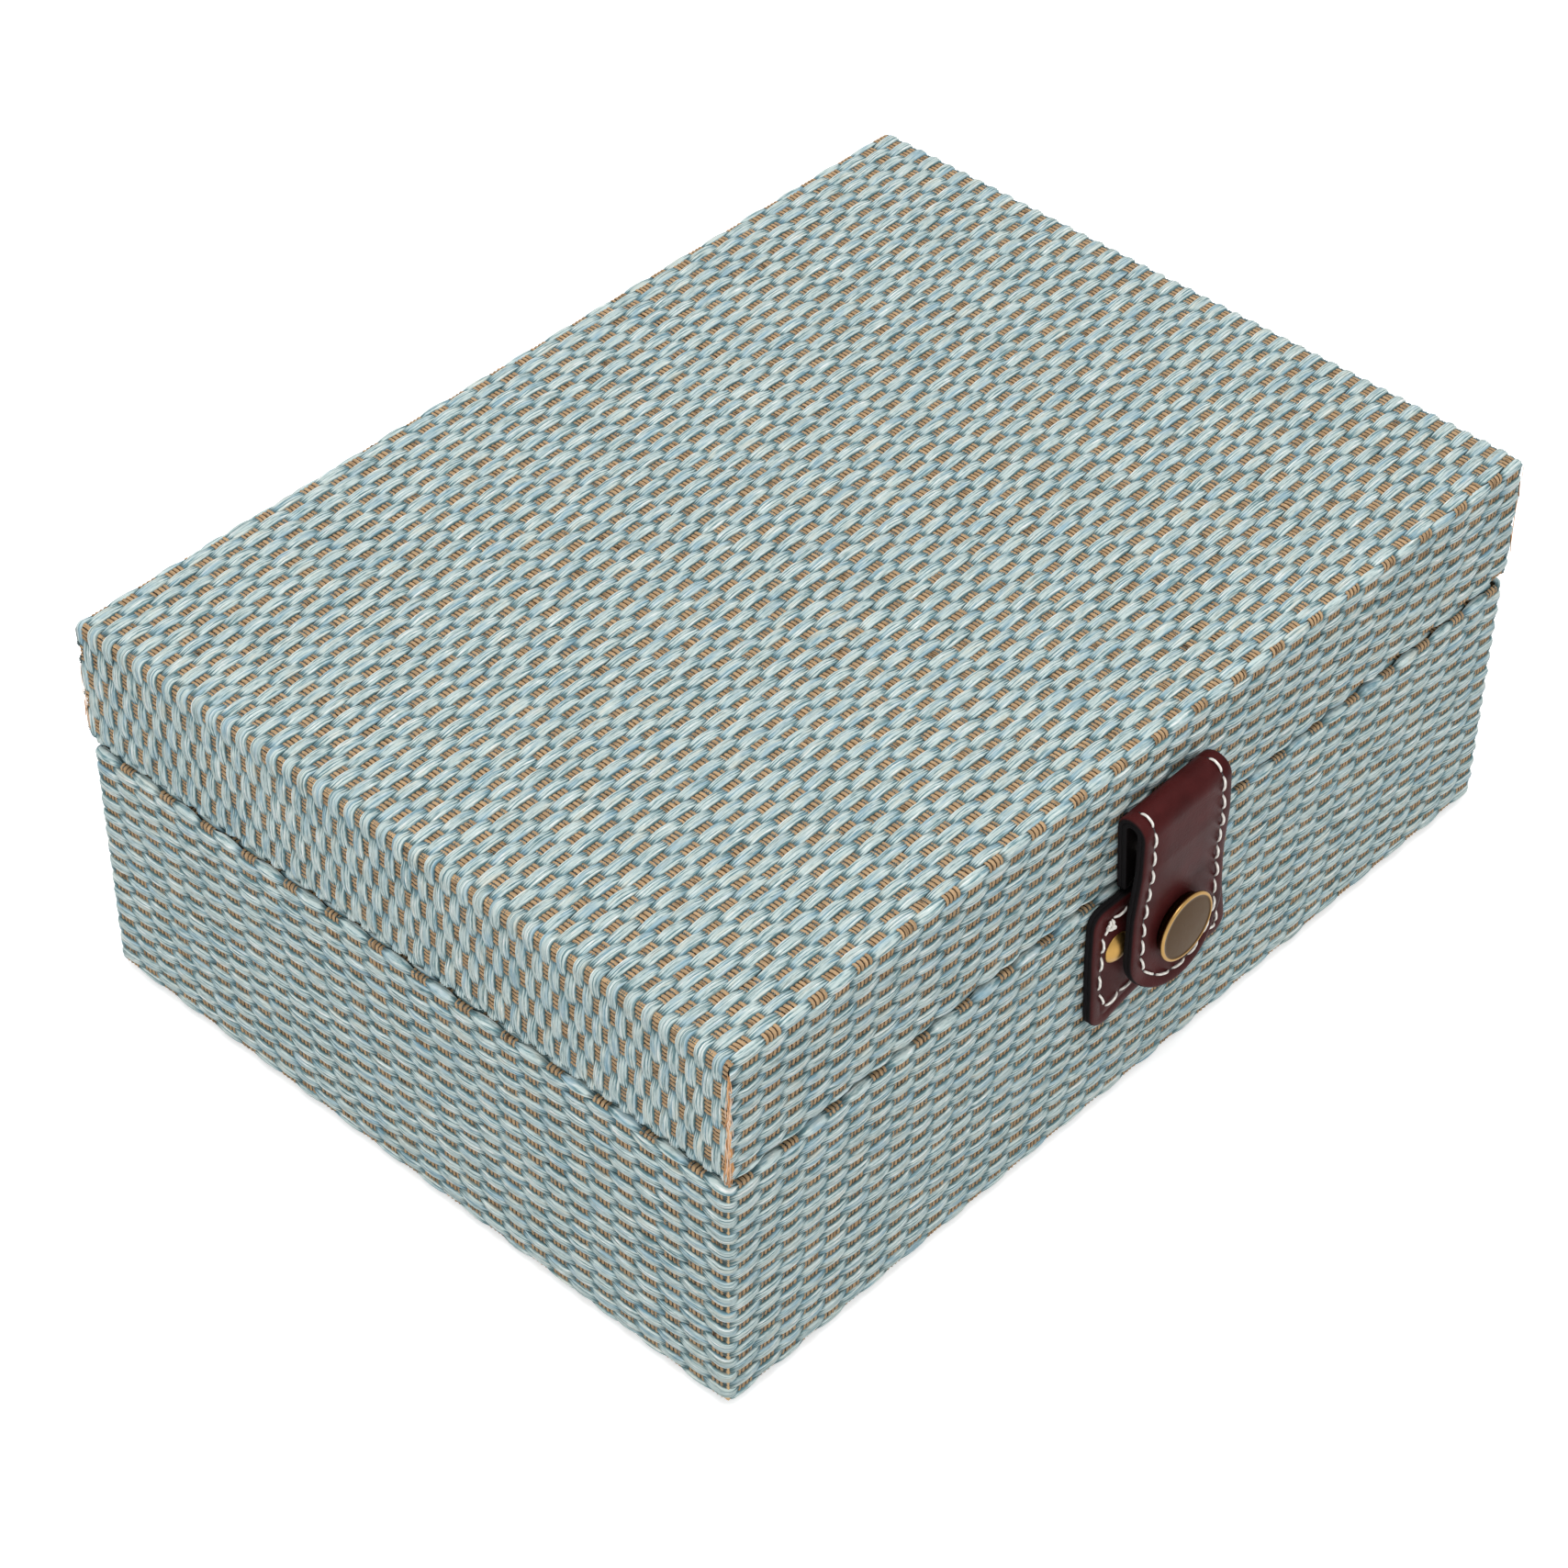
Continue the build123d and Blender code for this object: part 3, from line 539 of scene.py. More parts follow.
def weft_cotton(tree, finish):
    """Slub cotton roving, unevenly dyed: strands half a millimetre wide with pale and blue-grey streaks, a
    painted highlight along their backs and painted shade between them, at the yarn's sides and where it
    dives, bluer where the dye pooled and cream where it took badly, quite dull. The fibres are a third of a
    millimetre across and 6 mm long, and the pools of dye 1 mm by 8 mm."""
    uv = add_node(tree, "UVMap", uv_map="yarn")
    fine = add_node(tree, "Mapping", {"Scale": (0.17, 3.0, 1), "Vector": uv})
    fibre = add_node(tree, "TexNoise", {"Scale": 1.0, "Detail": 3.0, "Roughness": 0.65, "Vector": fine})
    broad = add_node(tree, "Mapping", {"Scale": (0.13, 0.9, 1), "Vector": uv})
    pool = add_node(tree, "TexNoise", {"Scale": 1.0, "Detail": 2.0, "Vector": broad})
    depth = add_node(tree, "Attribute", output="Fac", attribute_name="tint")
    # Painted shade: the depth darkens the streaks, so the backs get a painted highlight and the valleys and
    # sides painted shade
    shade = add_node(tree, "Math", {0: depth, 1: -0.18, 2: fibre}, operation="MULTIPLY_ADD")
    stops = [(0.25, finish.weft_deep), (0.42, finish.weft), (0.50, finish.weft), (0.60, finish.weft_light)]
    tone = add_node(tree, "ValToRGB", {"Fac": shade}, stops=stops)
    for source, start, end, most, over in (
        (pool, 0.52, 0.70, 0.65, finish.weft_blue),
        (pool, 0.42, 0.28, 0.4, finish.weft_cream),
        # Painted shade at the yarn's sides and where it dives
        (depth, 0.9, 2.2, 0.7, finish.weft_dark),
    ):
        span = {"Value": source, "From Min": start, "From Max": end, "To Max": most}
        share = add_node(tree, "MapRange", span)
        tone = add_node(tree, "Mix", {SHARE: share, FIRST: tone, SECOND: over}, **MIX)
    relief = add_node(tree, "Bump", {"Strength": 0.9, "Distance": 0.4 * MM, "Height": fibre})
    return {"Base Color": tone, "Roughness": 0.75, "Specular IOR Level": 0.2, "Normal": relief}


def warp_cotton(tree, finish):
    """Fine twisted tan threads: each a little lighter or darker than the next, with painted shade in the
    valleys where they lie against each other. The fibres are 0.6 mm across and 4 mm long."""
    uv = add_node(tree, "UVMap", uv_map="yarn")
    scaled = add_node(tree, "Mapping", {"Scale": (1.7, 0.28, 1), "Vector": uv})
    fibre = add_node(tree, "TexNoise", {"Scale": 1.0, "Detail": 3.0, "Vector": scaled})
    stops = [(0.25, finish.warp_dark), (0.42, finish.warp), (0.66, times(1.45, finish.warp))]
    tone = add_node(tree, "ValToRGB", {"Fac": fibre}, stops=stops)
    ridge = add_node(tree, "Attribute", output="Fac", attribute_name="tint")
    # Painted shade in the valleys between the threads
    span = {"Value": ridge, "From Min": 0.05, "From Max": 0.5, "To Min": 1.0, "To Max": 0.0}
    valley = add_node(tree, "MapRange", span, interpolation_type="SMOOTHSTEP")
    tone = add_node(tree, "Mix", {SHARE: valley, FIRST: tone, SECOND: finish.warp_dark}, **MIX)
    relief = add_node(tree, "Bump", {"Strength": 0.6, "Distance": 0.2 * MM, "Height": fibre})
    return {"Base Color": tone, "Roughness": 0.8, "Specular IOR Level": 0.15, "Normal": relief}


def frayed_cotton(tree):
    """Loose tan cotton ends: brighter than in the cloth because light reaches them from all sides, some
    bleached, mottled every 1.4 mm."""
    end = add_node(tree, "Attribute", output="Fac", attribute_name="tint")
    shades = ((0.0, "#7A4520"), (0.2, "#C08A52"), (0.6, "#EDBC86"), (0.76, "#FBF5EA"))
    stops = [(position, hex_linear(shade)) for position, shade in shades]
    tone = add_node(tree, "ValToRGB", {"Fac": end}, stops=stops)
    uv = add_node(tree, "UVMap", uv_map="yarn")
    scaled = add_node(tree, "Mapping", {"Scale": (0.7, 3.0, 1), "Vector": uv})
    noise = add_node(tree, "TexNoise", {"Scale": 1.0, "Vector": scaled})
    tone = add_node(tree, "Mix", {SHARE: noise, FIRST: tone, SECOND: hex_linear("#CE8F4E")}, **MIX)
    return {"Base Color": tone, "Roughness": 0.8, "Sheen Weight": 0.2}


def glued_backing(tree):
    """Glued backing between the yarns: dark brown in millimetre blotches as painted shade, dull."""
    at = add_node(tree, "TexCoord", output="Object")
    noise = add_node(tree, "TexNoise", {"Scale": 0.9 / MM, "Vector": at})
    shades = {SHARE: noise, FIRST: hex_linear("#1E1811"), SECOND: hex_linear("#3E3324")}
    tone = add_node(tree, "Mix", shades, **MIX)
    return {"Base Color": tone, "Roughness": 0.95, "Specular IOR Level": 0.1}


def calf_leather(tree, finish, dye):
    """Calf, drum dyed and lightly waxed: fine grain of 0.4 mm with pores of 0.7 mm, dye in clouds of 10 mm,
    soft gloss, and cut edges painted nearly black. The inner layers are the same leather, dyed darker."""
    at = add_node(tree, "TexCoord", output="Object")
    grain = add_node(
        tree, "TexVoronoi", {"Scale": 2.6 / MM, "Randomness": 1.0, "Vector": at}, output="Distance"
    )
    cloud = add_node(tree, "TexNoise", {"Scale": 0.095 / MM, "Detail": 5.0, "Roughness": 0.6, "Vector": at})
    stops = [(0.32, times(0.68, dye)), (0.5, dye), (0.7, times(1.35, dye))]
    tone = add_node(tree, "ValToRGB", {"Fac": cloud}, stops=stops)
    cut = add_node(tree, "Attribute", output="Fac", attribute_name="cut")
    tone = add_node(tree, "Mix", {SHARE: cut, FIRST: tone, SECOND: finish.leather_edge}, **MIX)
    rough = add_node(tree, "MapRange", {"Value": cut, "To Min": 0.40, "To Max": 0.8})
    pores = add_node(tree, "TexNoise", {"Scale": 1.5 / MM, "Detail": 4.0, "Vector": at})
    surface = add_node(tree, "Math", {0: grain, 1: pores}, operation="ADD")
    relief = add_node(tree, "Bump", {"Strength": 0.5, "Distance": 0.05 * MM, "Height": surface})
    return {"Base Color": tone, "Roughness": rough, "Specular IOR Level": 0.05, "Normal": relief}


def waxed_thread(tree, finish):
    """Twisted waxed thread: off-white, a twist every 1.5 mm, near-black with painted shade where it dives
    into its hole.
    """
    uv = add_node(tree, "UVMap", uv_map="yarn")
    bands = {"Scale": 0.42, "Distortion": 0.4, "Vector": uv}
    twist = add_node(tree, "TexWave", bands, output="Fac", bands_direction="DIAGONAL")
    dim = times(0.75, finish.thread)
    tone = add_node(tree, "Mix", {SHARE: twist, FIRST: dim, SECOND: finish.thread}, **MIX)
    hole = add_node(tree, "Attribute", output="Fac", attribute_name="hole")
    # Painted shade where the thread dives into its hole, and on the holes
    tone = add_node(tree, "Mix", {SHARE: hole, FIRST: tone, SECOND: finish.leather_edge}, **MIX)
    relief = add_node(tree, "Bump", {"Strength": 0.5, "Distance": 0.1 * MM, "Height": twist})
    return {"Base Color": tone, "Roughness": 0.5, "Normal": relief}


def turned_metal(tree, tone, roughness, grain, worn=None, glancing="#FFFFFF"):
    """Turned and polished metal: a mirror with a grain that blurs it a little, browner at a glancing view
    where it is bronzed, and bright brass where its finish is worn off. Real turning marks are too fine to
    show, so the grain is drawn with 0.5 to 0.9 marks to the millimetre."""
    at = add_node(tree, "TexCoord", output="Object")
    noise = add_node(tree, "TexNoise", {"Scale": grain / MM, "Detail": 4.0, "Vector": at})
    bright = hex_linear(tone)
    face = add_node(tree, "Mix", {SHARE: noise, FIRST: times(0.7, bright), SECOND: bright}, **MIX)
    if worn:
        rubbed = add_node(tree, "Attribute", output="Fac", attribute_name="worn")
        face = add_node(tree, "Mix", {SHARE: rubbed, FIRST: face, SECOND: hex_linear(worn)}, **MIX)
    rough = add_node(tree, "MapRange", {"Value": noise, "To Min": roughness * 0.7, "To Max": roughness * 1.3})
    return {"Base Color": face, "Metallic": 1.0, "Roughness": rough, "Specular Tint": hex_linear(glancing)}


def lining_cotton(tree, finish):
    """Plain cotton glued over card: matt, with a square weave of one thread to the millimetre, coarser than
    the real one so that it shows, and faint stains of 17 mm."""
    at = add_node(tree, "TexCoord", output="Object")
    ribs = {"Scale": 0.32 / MM, "Distortion": 0.6, "Vector": at}
    x, y, z = (add_node(tree, "TexWave", ribs, output="Fac", bands_direction=way) for way in "XYZ")
    weave = add_node(tree, "Math", {0: x, 1: y}, operation="MAXIMUM")
    weave = add_node(tree, "Math", {0: weave, 1: z}, operation="MAXIMUM")
    noise = add_node(tree, "TexNoise", {"Scale": 0.06 / MM, "Detail": 6.0, "Vector": at})
    dim = times(0.72, finish.lining)
    tone = add_node(tree, "Mix", {SHARE: weave, FIRST: dim, SECOND: finish.lining}, **MIX)
    tone = add_node(tree, "Mix", {SHARE: noise, FIRST: tone, SECOND: dim}, **MIX)
    relief = add_node(tree, "Bump", {"Strength": 0.6, "Distance": 0.1 * MM, "Height": weave})
    return {"Base Color": tone, "Roughness": 0.9, "Sheen Weight": 0.1, "Normal": relief}


def wool_felt(tree):
    """Pressed wool felt: matted fibres in tufts of 0.8 mm that scatter the light, no gloss."""
    at = add_node(tree, "TexCoord", output="Object")
    noise = add_node(tree, "TexNoise", {"Scale": 1.3 / MM, "Detail": 6.0, "Vector": at})
    shades = {SHARE: noise, FIRST: hex_linear("#33271F"), SECOND: hex_linear("#5E4A3B")}
    relief = add_node(tree, "Bump", {"Strength": 0.8, "Distance": 0.4 * MM, "Height": noise})
    tone = add_node(tree, "Mix", shades, **MIX)
    return {"Base Color": tone, "Roughness": 1.0, "Sheen Weight": 0.4, "Normal": relief}


def birch_plywood(tree):
    """Birch plywood: pale, with faint grain 4 mm wide and 55 mm long, and no lacquer."""
    at = add_node(tree, "TexCoord", output="Object")
    scaled = add_node(tree, "Mapping", {"Scale": (0.018 / MM, 0.26 / MM, 0.26 / MM), "Vector": at})
    grain = add_node(tree, "TexNoise", {"Scale": 1.0, "Detail": 5.0, "Vector": scaled})
    shades = {SHARE: grain, FIRST: hex_linear("#B98F5E"), SECOND: hex_linear("#DEC094")}
    relief = add_node(tree, "Bump", {"Strength": 0.3, "Distance": 0.1 * MM, "Height": grain})
    tone = add_node(tree, "Mix", shades, **MIX)
    return {"Base Color": tone, "Roughness": 0.7, "Normal": relief}


# Cloth covers

def clothed(name, made, material, body, node):
    """A piece of yarns that rides on a body and stands for its cover."""
    points, faces, uv, tint = made
    return settle(new_piece(name, points, faces, material, uv=uv, tint=tint), body, "woven_cover", node)


def backing(name, points, faces, body, node):
    """The cloth's glued side as a thin sheet under the yarns, thickened inwards, dark with painted shade."""
    material = new_material("glued_backing", glued_backing)
    piece = settle(new_piece(name, points, faces[:, ::-1], material), body, "woven_cover", node)
    solid = piece.modifiers.new("thickness", "SOLIDIFY")
    solid.thickness = 0.2 * MM
    solid.offset = -1.0
    return piece


def lid_way(box, half):
    """Distances one way over the lid, from the middle of the top, which is half wide: the cut just past the
    middle of the bend, where the top's yarns meet those of the flap, the bend's end, the rim, and the cloth's
    end inside, 1 mm before its section ends. Samples lie closer about the bends."""
    flat = half - box.edge
    depth = lid_high[2] - lid_low[2] - 2 * box.cloth
    rim = half - 2 * box.edge + box.edge * pi / 2 + depth
    inner = rim + box.wall
    spans = [(half - 1.2, half + 1.0), (rim - 0.8, rim + 0.8), (inner - 1.2, inner + 0.4)]
    return SimpleNamespace(
        half=half, cut=flat + box.edge * pi / 4 + 0.3, end=flat + box.edge * pi / 2, rim=rim,
        reach=inner + box.turned_in - 1.0, bends=spans + [(-end, -start) for start, end in spans],
    )


def lid_runs(box, places, own, other):
    """Which yarns lie on the top and which on a flap, by their places the other way, and how far those on the
    top and those on a flap run their own way to each side. Over the rim both end at the mitre."""
    at = np.abs(places)
    top, flap = at < other.cut, (at > other.cut) & (at < other.reach)
    over = np.where(at < other.half - box.wall, own.reach, own.rim + np.maximum(other.half - at, 0))
    return top, flap, over, own.cut - np.clip(at - other.rim, 0, box.wall)


def lid_weft(box, cloth, finish, way_u, way_v):
    """The lid's weft rows: three pieces over the top, and slimmer rows on the front and the back flap."""
    numbers = np.arange(-80, 80)
    rows = (numbers + 0.5) * cloth.pitch
    top, flap, over, beside = lid_runs(box, rows, way_u, way_v)
    u = crowd(-way_u.reach, way_u.reach, cloth.period / 8, way_u.bends, 0.5)
    third, full, slim = way_v.cut / 3, cloth.weave.weft_width, cloth.weave.weft_width * 0.90
    material, pieces = new_material("slub_cotton_weft", weft_cotton, finish), []
    for name, chosen, reach, width in (
        ("lid_weft_front_part", top & (rows < -third), over, full),
        ("lid_weft_middle_part", top & (np.abs(rows) <= third), over, full),
        ("lid_weft_back_part", top & (rows > third), over, full),
        ("lid_weft_front_side", flap & (rows < 0), beside, slim),
        ("lid_weft_back_side", flap & (rows > 0), beside, slim),
    ):
        reach, parity = reach[chosen], numbers[chosen] % 2
        made = weft_yarns(cloth.place, cloth, rows[chosen], parity, u, -reach, reach, width, slack=1.0)
        pieces.append(clothed(name, made, material, "lid", "lid_cover"))
    return pieces


def lid_warp(box, cloth, finish, way_u, way_v):
    """The lid's warp groups: two halves over the top, and one piece on the left and on the right flap."""
    numbers = np.arange(-40, 41)
    groups = numbers * cloth.weave.warp_pitch + cloth.shift
    top, flap, over, beside = lid_runs(box, groups, way_v, way_u)
    v = crowd(-way_v.reach, way_v.reach, cloth.pitch / 2, way_v.bends, 0.5)
    material, pieces = new_material("tan_cotton_warp", warp_cotton, finish), []
    for name, chosen, reach in (
        ("lid_warp_left_half", top & (groups < 0), over),
        ("lid_warp_right_half", top & (groups >= 0), over),
        ("lid_warp_left_side", flap & (groups < 0), beside),
        ("lid_warp_right_side", flap & (groups > 0), beside),
    ):
        reach, parity = reach[chosen], numbers[chosen] % 2
        made = warp_threads(
            cloth.place, cloth, groups[chosen], parity, v, -reach, reach, phase=cloth.pitch / 2, slack=1.0,
            raised=0.13,
        )
        pieces.append(clothed(name, made, material, "lid", "lid_cover"))
    return pieces


def lid_backing(box, place, way_u, way_v):
    """The lid's glued side: a grid over the top and the four flaps, without the corners between them."""

    def lines(way):
        """Grid lines one way, one of them where the bend ends on either side."""
        spread = crowd(-way.reach, way.reach, 12.0, way.bends, 0.3)
        return np.unique(np.concatenate([spread, [-way.end, way.end]]))

    def on_flap(aside, own, down, other):
        """Whether faces this far aside lie on a flap, which over the rim narrows to its mitre."""
        return aside < own.end - np.clip(down - other.rim, 0, box.wall) - 0.3 * (down > other.rim)

    lines_u, lines_v = lines(way_u), lines(way_v)
    grid_u, grid_v = np.meshgrid(lines_u, lines_v, indexing="ij")
    far_u = (np.abs(lines_u[:-1] + lines_u[1:]) / 2)[:, None]
    far_v = (np.abs(lines_v[:-1] + lines_v[1:]) / 2)[None, :]
    on_sides = np.where(far_u > way_u.end, on_flap(far_v, way_v, far_u, way_u), True)
    kept = np.where(far_v > way_v.end, on_flap(far_u, way_u, far_v, way_v), on_sides).ravel()
    points = place(grid_u, grid_v, np.full(grid_u.shape, UNDER_YARNS))
    return backing("lid_cloth_backing", points, grid_faces(*grid_u.shape)[kept], "lid", "lid_cover")


def lid_cloth(box, weave, finish):
    """The lid's cloth. Weft rows run along X over the top and down the left and right; other rows lie on the
    front and back. Warp groups run along Y over the top and down the front and back; others lie on the left
    and right."""
    half_u, half_v = lid_high[:2] - box.cloth
    cloth = SimpleNamespace(
        place=lid_place(box), weave=weave, period=2 * weave.warp_pitch, pitch=weave.weft_pitch,
        shift=weave.lid_shift, fold=half_v - box.edge * 0.2, rng=np.random.default_rng(weave.seed),
    )
    ways = [lid_way(box, half) for half in (half_u, half_v)]
    pieces = lid_weft(box, cloth, finish, *ways) + lid_warp(box, cloth, finish, *ways)
    sheet = lid_backing(box, cloth.place, *ways)
    pieces.append(corner_frays(cloth.rng))


def base_weft(cloth, finish):
    """The base's weft rows. Those on the walls run all round, a little slimmer, and those under the floor and
    over the rim run from mitre to mitre."""
    numbers = np.arange(-60, 8)
    rows = cloth.rim + numbers * cloth.pitch
    kept = (rows > cloth.start + 0.5) & (rows < cloth.end - 0.5)
    rows, parity = rows[kept], numbers[kept] % 2
    bends = cloth.corners + [(cloth.back_left - 0.5, cloth.back_left + 0.5)]
    u = crowd(-cloth.first, cloth.around, cloth.period / 8, bends, 0.5)
    outer, low_rows = cloth.inset(rows) < 0.9, rows < cloth.floor + 30.0
    full, slim = cloth.weave.weft_width, cloth.weave.weft_width * 0.965
    material, pieces = new_material("slub_cotton_weft", weft_cotton, finish), []
    for name, chosen in (("base_weft_lower", outer & low_rows), ("base_weft_upper", outer & ~low_rows)):
        ends = np.zeros(chosen.sum())
        made = weft_yarns(
            cloth.place, cloth, rows[chosen], parity[chosen], u[u >= 0], ends, ends + cloth.around, slim,
            slack=1.3, around=cloth.around,
        )
        pieces.append(clothed(name, made, material, "base", "base_cover"))
    for name, chosen in (("base_weft_under", ~outer & low_rows), ("base_weft_rim", ~outer & ~low_rows)):
        inward = cloth.inset(rows[chosen])
        low = (np.concatenate([[cloth.back_left], cloth.middles[:3]])[:, None] + inward).ravel()
        high = (cloth.middles[:, None] - inward).ravel()
        four_rows, four_parity = np.tile(rows[chosen], 4), np.tile(parity[chosen], 4)
        made = weft_yarns(cloth.place, cloth, four_rows, four_parity, u, low, high, full, slack=0.6)
        pieces.append(clothed(name, made, material, "base", "base_cover"))
    return pieces


def base_warp(cloth, finish):
    """The base's warp groups, upright from under the floor to inside the rim. A group near a corner ends
    where it comes nearer than 1.6 mm to the mitre."""

    def pulled_in(u, v, h):
        """The cloth's place, lowered by a bell curve at the upright corners, where the rows pull it in."""
        near = np.min(np.abs(np.mod(u, cloth.around)[..., None] - cloth.middles), axis=-1)
        return cloth.place(u, v, h - 0.55 * bell(near, 0.9))

    numbers = np.arange(2 * cloth.periods)
    groups, parity = numbers * cloth.period / 2 + cloth.shift, numbers % 2
    nearby = np.concatenate([cloth.middles, cloth.middles - cloth.around, cloth.middles + cloth.around])
    from_corner = np.min(np.abs(groups[:, None] - nearby), axis=1)
    climb = np.linspace(cloth.start, cloth.end, 400)
    clear = [climb[cloth.inset(climb) < max(distance - 1.6, 0.05)] for distance in from_corner]
    low, high = np.array([(run.min(), run.max()) for run in clear]).T
    v = crowd(cloth.start, cloth.end, cloth.pitch / 2, cloth.bends, 0.5)
    phase, first_half = cloth.rim % (2 * cloth.pitch), groups < cloth.around / 2
    material, pieces = new_material("tan_cotton_warp", warp_cotton, finish), []
    for name, chosen in (("base_warp_back_left", first_half), ("base_warp_front_right", ~first_half)):
        made = warp_threads(
            pulled_in, cloth, groups[chosen], parity[chosen], v, low[chosen], high[chosen], phase, slack=1.3,
            raised=0.06,
        )
        pieces.append(clothed(name, made, material, "base", "base_cover"))
    return pieces


def base_backing(cloth):
    """The base's glued side: a strip all round. Where it lies inside the walls' outline, its points are drawn
    back to the mitre lines, which lie the inset away from the corners' middles."""
    lines_u = np.unique(np.concatenate([crowd(0, cloth.around, 12.0, cloth.corners, 0.35), cloth.middles]))
    grid_u, grid_v = np.meshgrid(lines_u, crowd(0.0, cloth.reach, 12.0, cloth.bends, 0.3), indexing="ij")
    spots = np.concatenate([[cloth.back_left], cloth.middles, [cloth.middles[0] + cloth.around]])
    index = np.clip(np.searchsorted(spots, grid_u, side="right"), 1, len(spots) - 1)
    inward = cloth.inset(grid_v)
    drawn = np.clip(grid_u, spots[index - 1] + inward, spots[index] - inward)
    points = cloth.place(drawn, grid_v, np.full(grid_u.shape, UNDER_YARNS))
    sheet = backing("base_cloth_backing", points, grid_faces(*grid_u.shape), "base", "base_cover")
    return weld(sheet, recalculate=False)


def base_cloth(box, weave, finish):
    """The base's cloth: a strip round the four walls, turned under the floor and in over the rim, with its
    weft rows running round and its warp groups upright. Lengths round it start at the middle of the back, and
    those up it under the floor."""
    place, ring, section = base_place(box)
    around, reach = ring[0][-1], section[0][-1]
    periods = round(around / (2 * weave.warp_pitch))
    half_x, half_y = base_high[:2] - box.cloth
    arc = box.corner * pi / 2
    first = half_x - box.corner + arc / 2
    sides = 2 * (np.array([half_y, half_x, half_y]) - box.corner) + arc
    middles = first + np.concatenate([[0], np.cumsum(sides)])
    height = base_high[2] - base_low[2] - 2 * box.cloth
    floor = box.turned_under
    rim = floor + height - (2 - pi / 2) * (box.edge + box.rim) + box.rim * 0.3
    inner = rim + box.wall

    def inset(v):
        """How far the cloth lies inside the walls' outline."""
        return np.maximum(-along(section, v)[0][0], 0)

    cloth = SimpleNamespace(
        place=place, weave=weave, periods=periods, period=around / periods, pitch=weave.weft_pitch,
        shift=weave.base_shift, fold=floor - box.edge * 0.2, rng=np.random.default_rng(weave.seed + 1),
        around=around, reach=reach, start=5.0, end=reach - 0.5, floor=floor, rim=rim, inset=inset,
        first=first, middles=middles, back_left=middles[3] - around,
        corners=[(middle - arc / 2 - 0.4, middle + arc / 2 + 0.4) for middle in middles],
        bends=[(floor - 1.4, floor + 0.8), (rim - 1.2, rim + 0.8), (inner - 0.8, inner + 0.6)],
    )
    pieces = base_weft(cloth, finish) + base_warp(cloth, finish)
    sheet = base_backing(cloth)


# Loose ends at the lid's upright corners: the corner's sides, how many ends, and how far they spread
FRAYS = ((-1, -1, 84, 0.8), (1, -1, 6, 0.2), (-1, 1, 6, 0.2), (1, 1, 6, 0.2))


def corner_frays(rng):
    """Loose ends of tan threads where the lid's cloth is butted at its upright corners: thin tubes that run
    down the corner with a slow wave, most of them at the front left, where they spread towards the rim."""
    lines, tints, samples, sides = [], [], 14, 5
    share = np.linspace(0, 1, samples)[None, :]
    inside = lid_high[:2] - 1.15
    for side_x, side_y, count, spread in FRAYS:
        column = (count, 1)
        start = rng.uniform(lid_low[2] + 5, lid_high[2] - 1.6, column)
        z = np.maximum(start - share * rng.uniform(3, 11, column), lid_low[2] + 0.35)
        low = (lid_high[2] - z) / (lid_high[2] - lid_low[2])
        off = rng.normal(0, 0.42, column) * spread * (0.5 + 1.1 * low)
        wave = 0.28 * np.sin(share * rng.uniform(2, 7, column) + rng.uniform(0, 6, column))
        away = off + wave * spread + 0.4 * share ** 2 * rng.normal(0, 1.0, column) * spread
        out = rng.uniform(-0.35, 0.3, column) + 0.35 * share ** 2 * rng.uniform(-0.2, 1, column)
        x = side_x * (inside[0] + out * 0.7 + 0.55 - np.maximum(away, 0))
        y = side_y * (inside[1] + out * 0.7 + 0.55 - np.maximum(-away, 0))
        lines.append(np.stack(np.broadcast_arrays(x, y, z), -1))
        tints.append(np.repeat(rng.random(count), samples * sides))
    lines = np.concatenate(lines)
    points, faces, uv = tubes(lines, rng.uniform(0.05, 0.12, (len(lines), 1)), sides)
    material = new_material("frayed_cotton", frayed_cotton)
    piece = new_piece("lid_corner_frays", points, faces, material, uv=uv, tint=np.concatenate(tints))
    return settle(piece, "lid", "woven_cover")


# Flat pieces with shaped edges

# A profile gives insets and heights of the rings from the face down, in mm: a bevelled and channelled outer
# layer, a plain inner layer, a cloth-wrapped panel and a felt sheet. A cut is each ring's share of edge paint
LEATHER_EDGE = [
    (2.98, 0), (2.7, -0.13), (2.42, 0), (0.95, 0.03), (0.5, 0), (0.2, -0.12), (0.04, -0.32),
    (0, -0.5), (0, -1.0), (0.1, -1.1),
]
LEATHER_CUT = [0, 0, 0, 0, 0, 0.1, 0.75, 1, 1, 1]
LINING_EDGE = [(2.0, 0), (0.3, 0), (0.08, -0.08), (0.02, -0.25), (0.02, -0.85), (0.12, -1.04), (0.45, -1.1)]
LINING_CUT = [0, 0.6, 1, 1, 1, 0.8, 0]
PANEL_EDGE = [(1.6, 0), (0.7, -0.04), (0.25, -0.16), (0.04, -0.4), (0, -0.7), (0, -1.3), (0.3, -1.6)]
FELT_EDGE = [(1.2, 0), (0.3, -0.04), (0.06, -0.2), (0, -0.5), (0.05, -0.8), (0.3, -1.0)]


def outward(outline):
    """Normals of a closed outline: the neighbours' direction turned by 90 degrees, away from its area."""
    heading = unit(np.roll(outline, -1, axis=0) - np.roll(outline, 1, axis=0))
    x, y = outline.T
    area = np.sum(x * np.roll(y, -1) - np.roll(x, -1) * y)
    return np.stack([heading[:, 1], -heading[:, 0]], 1) * np.sign(area)


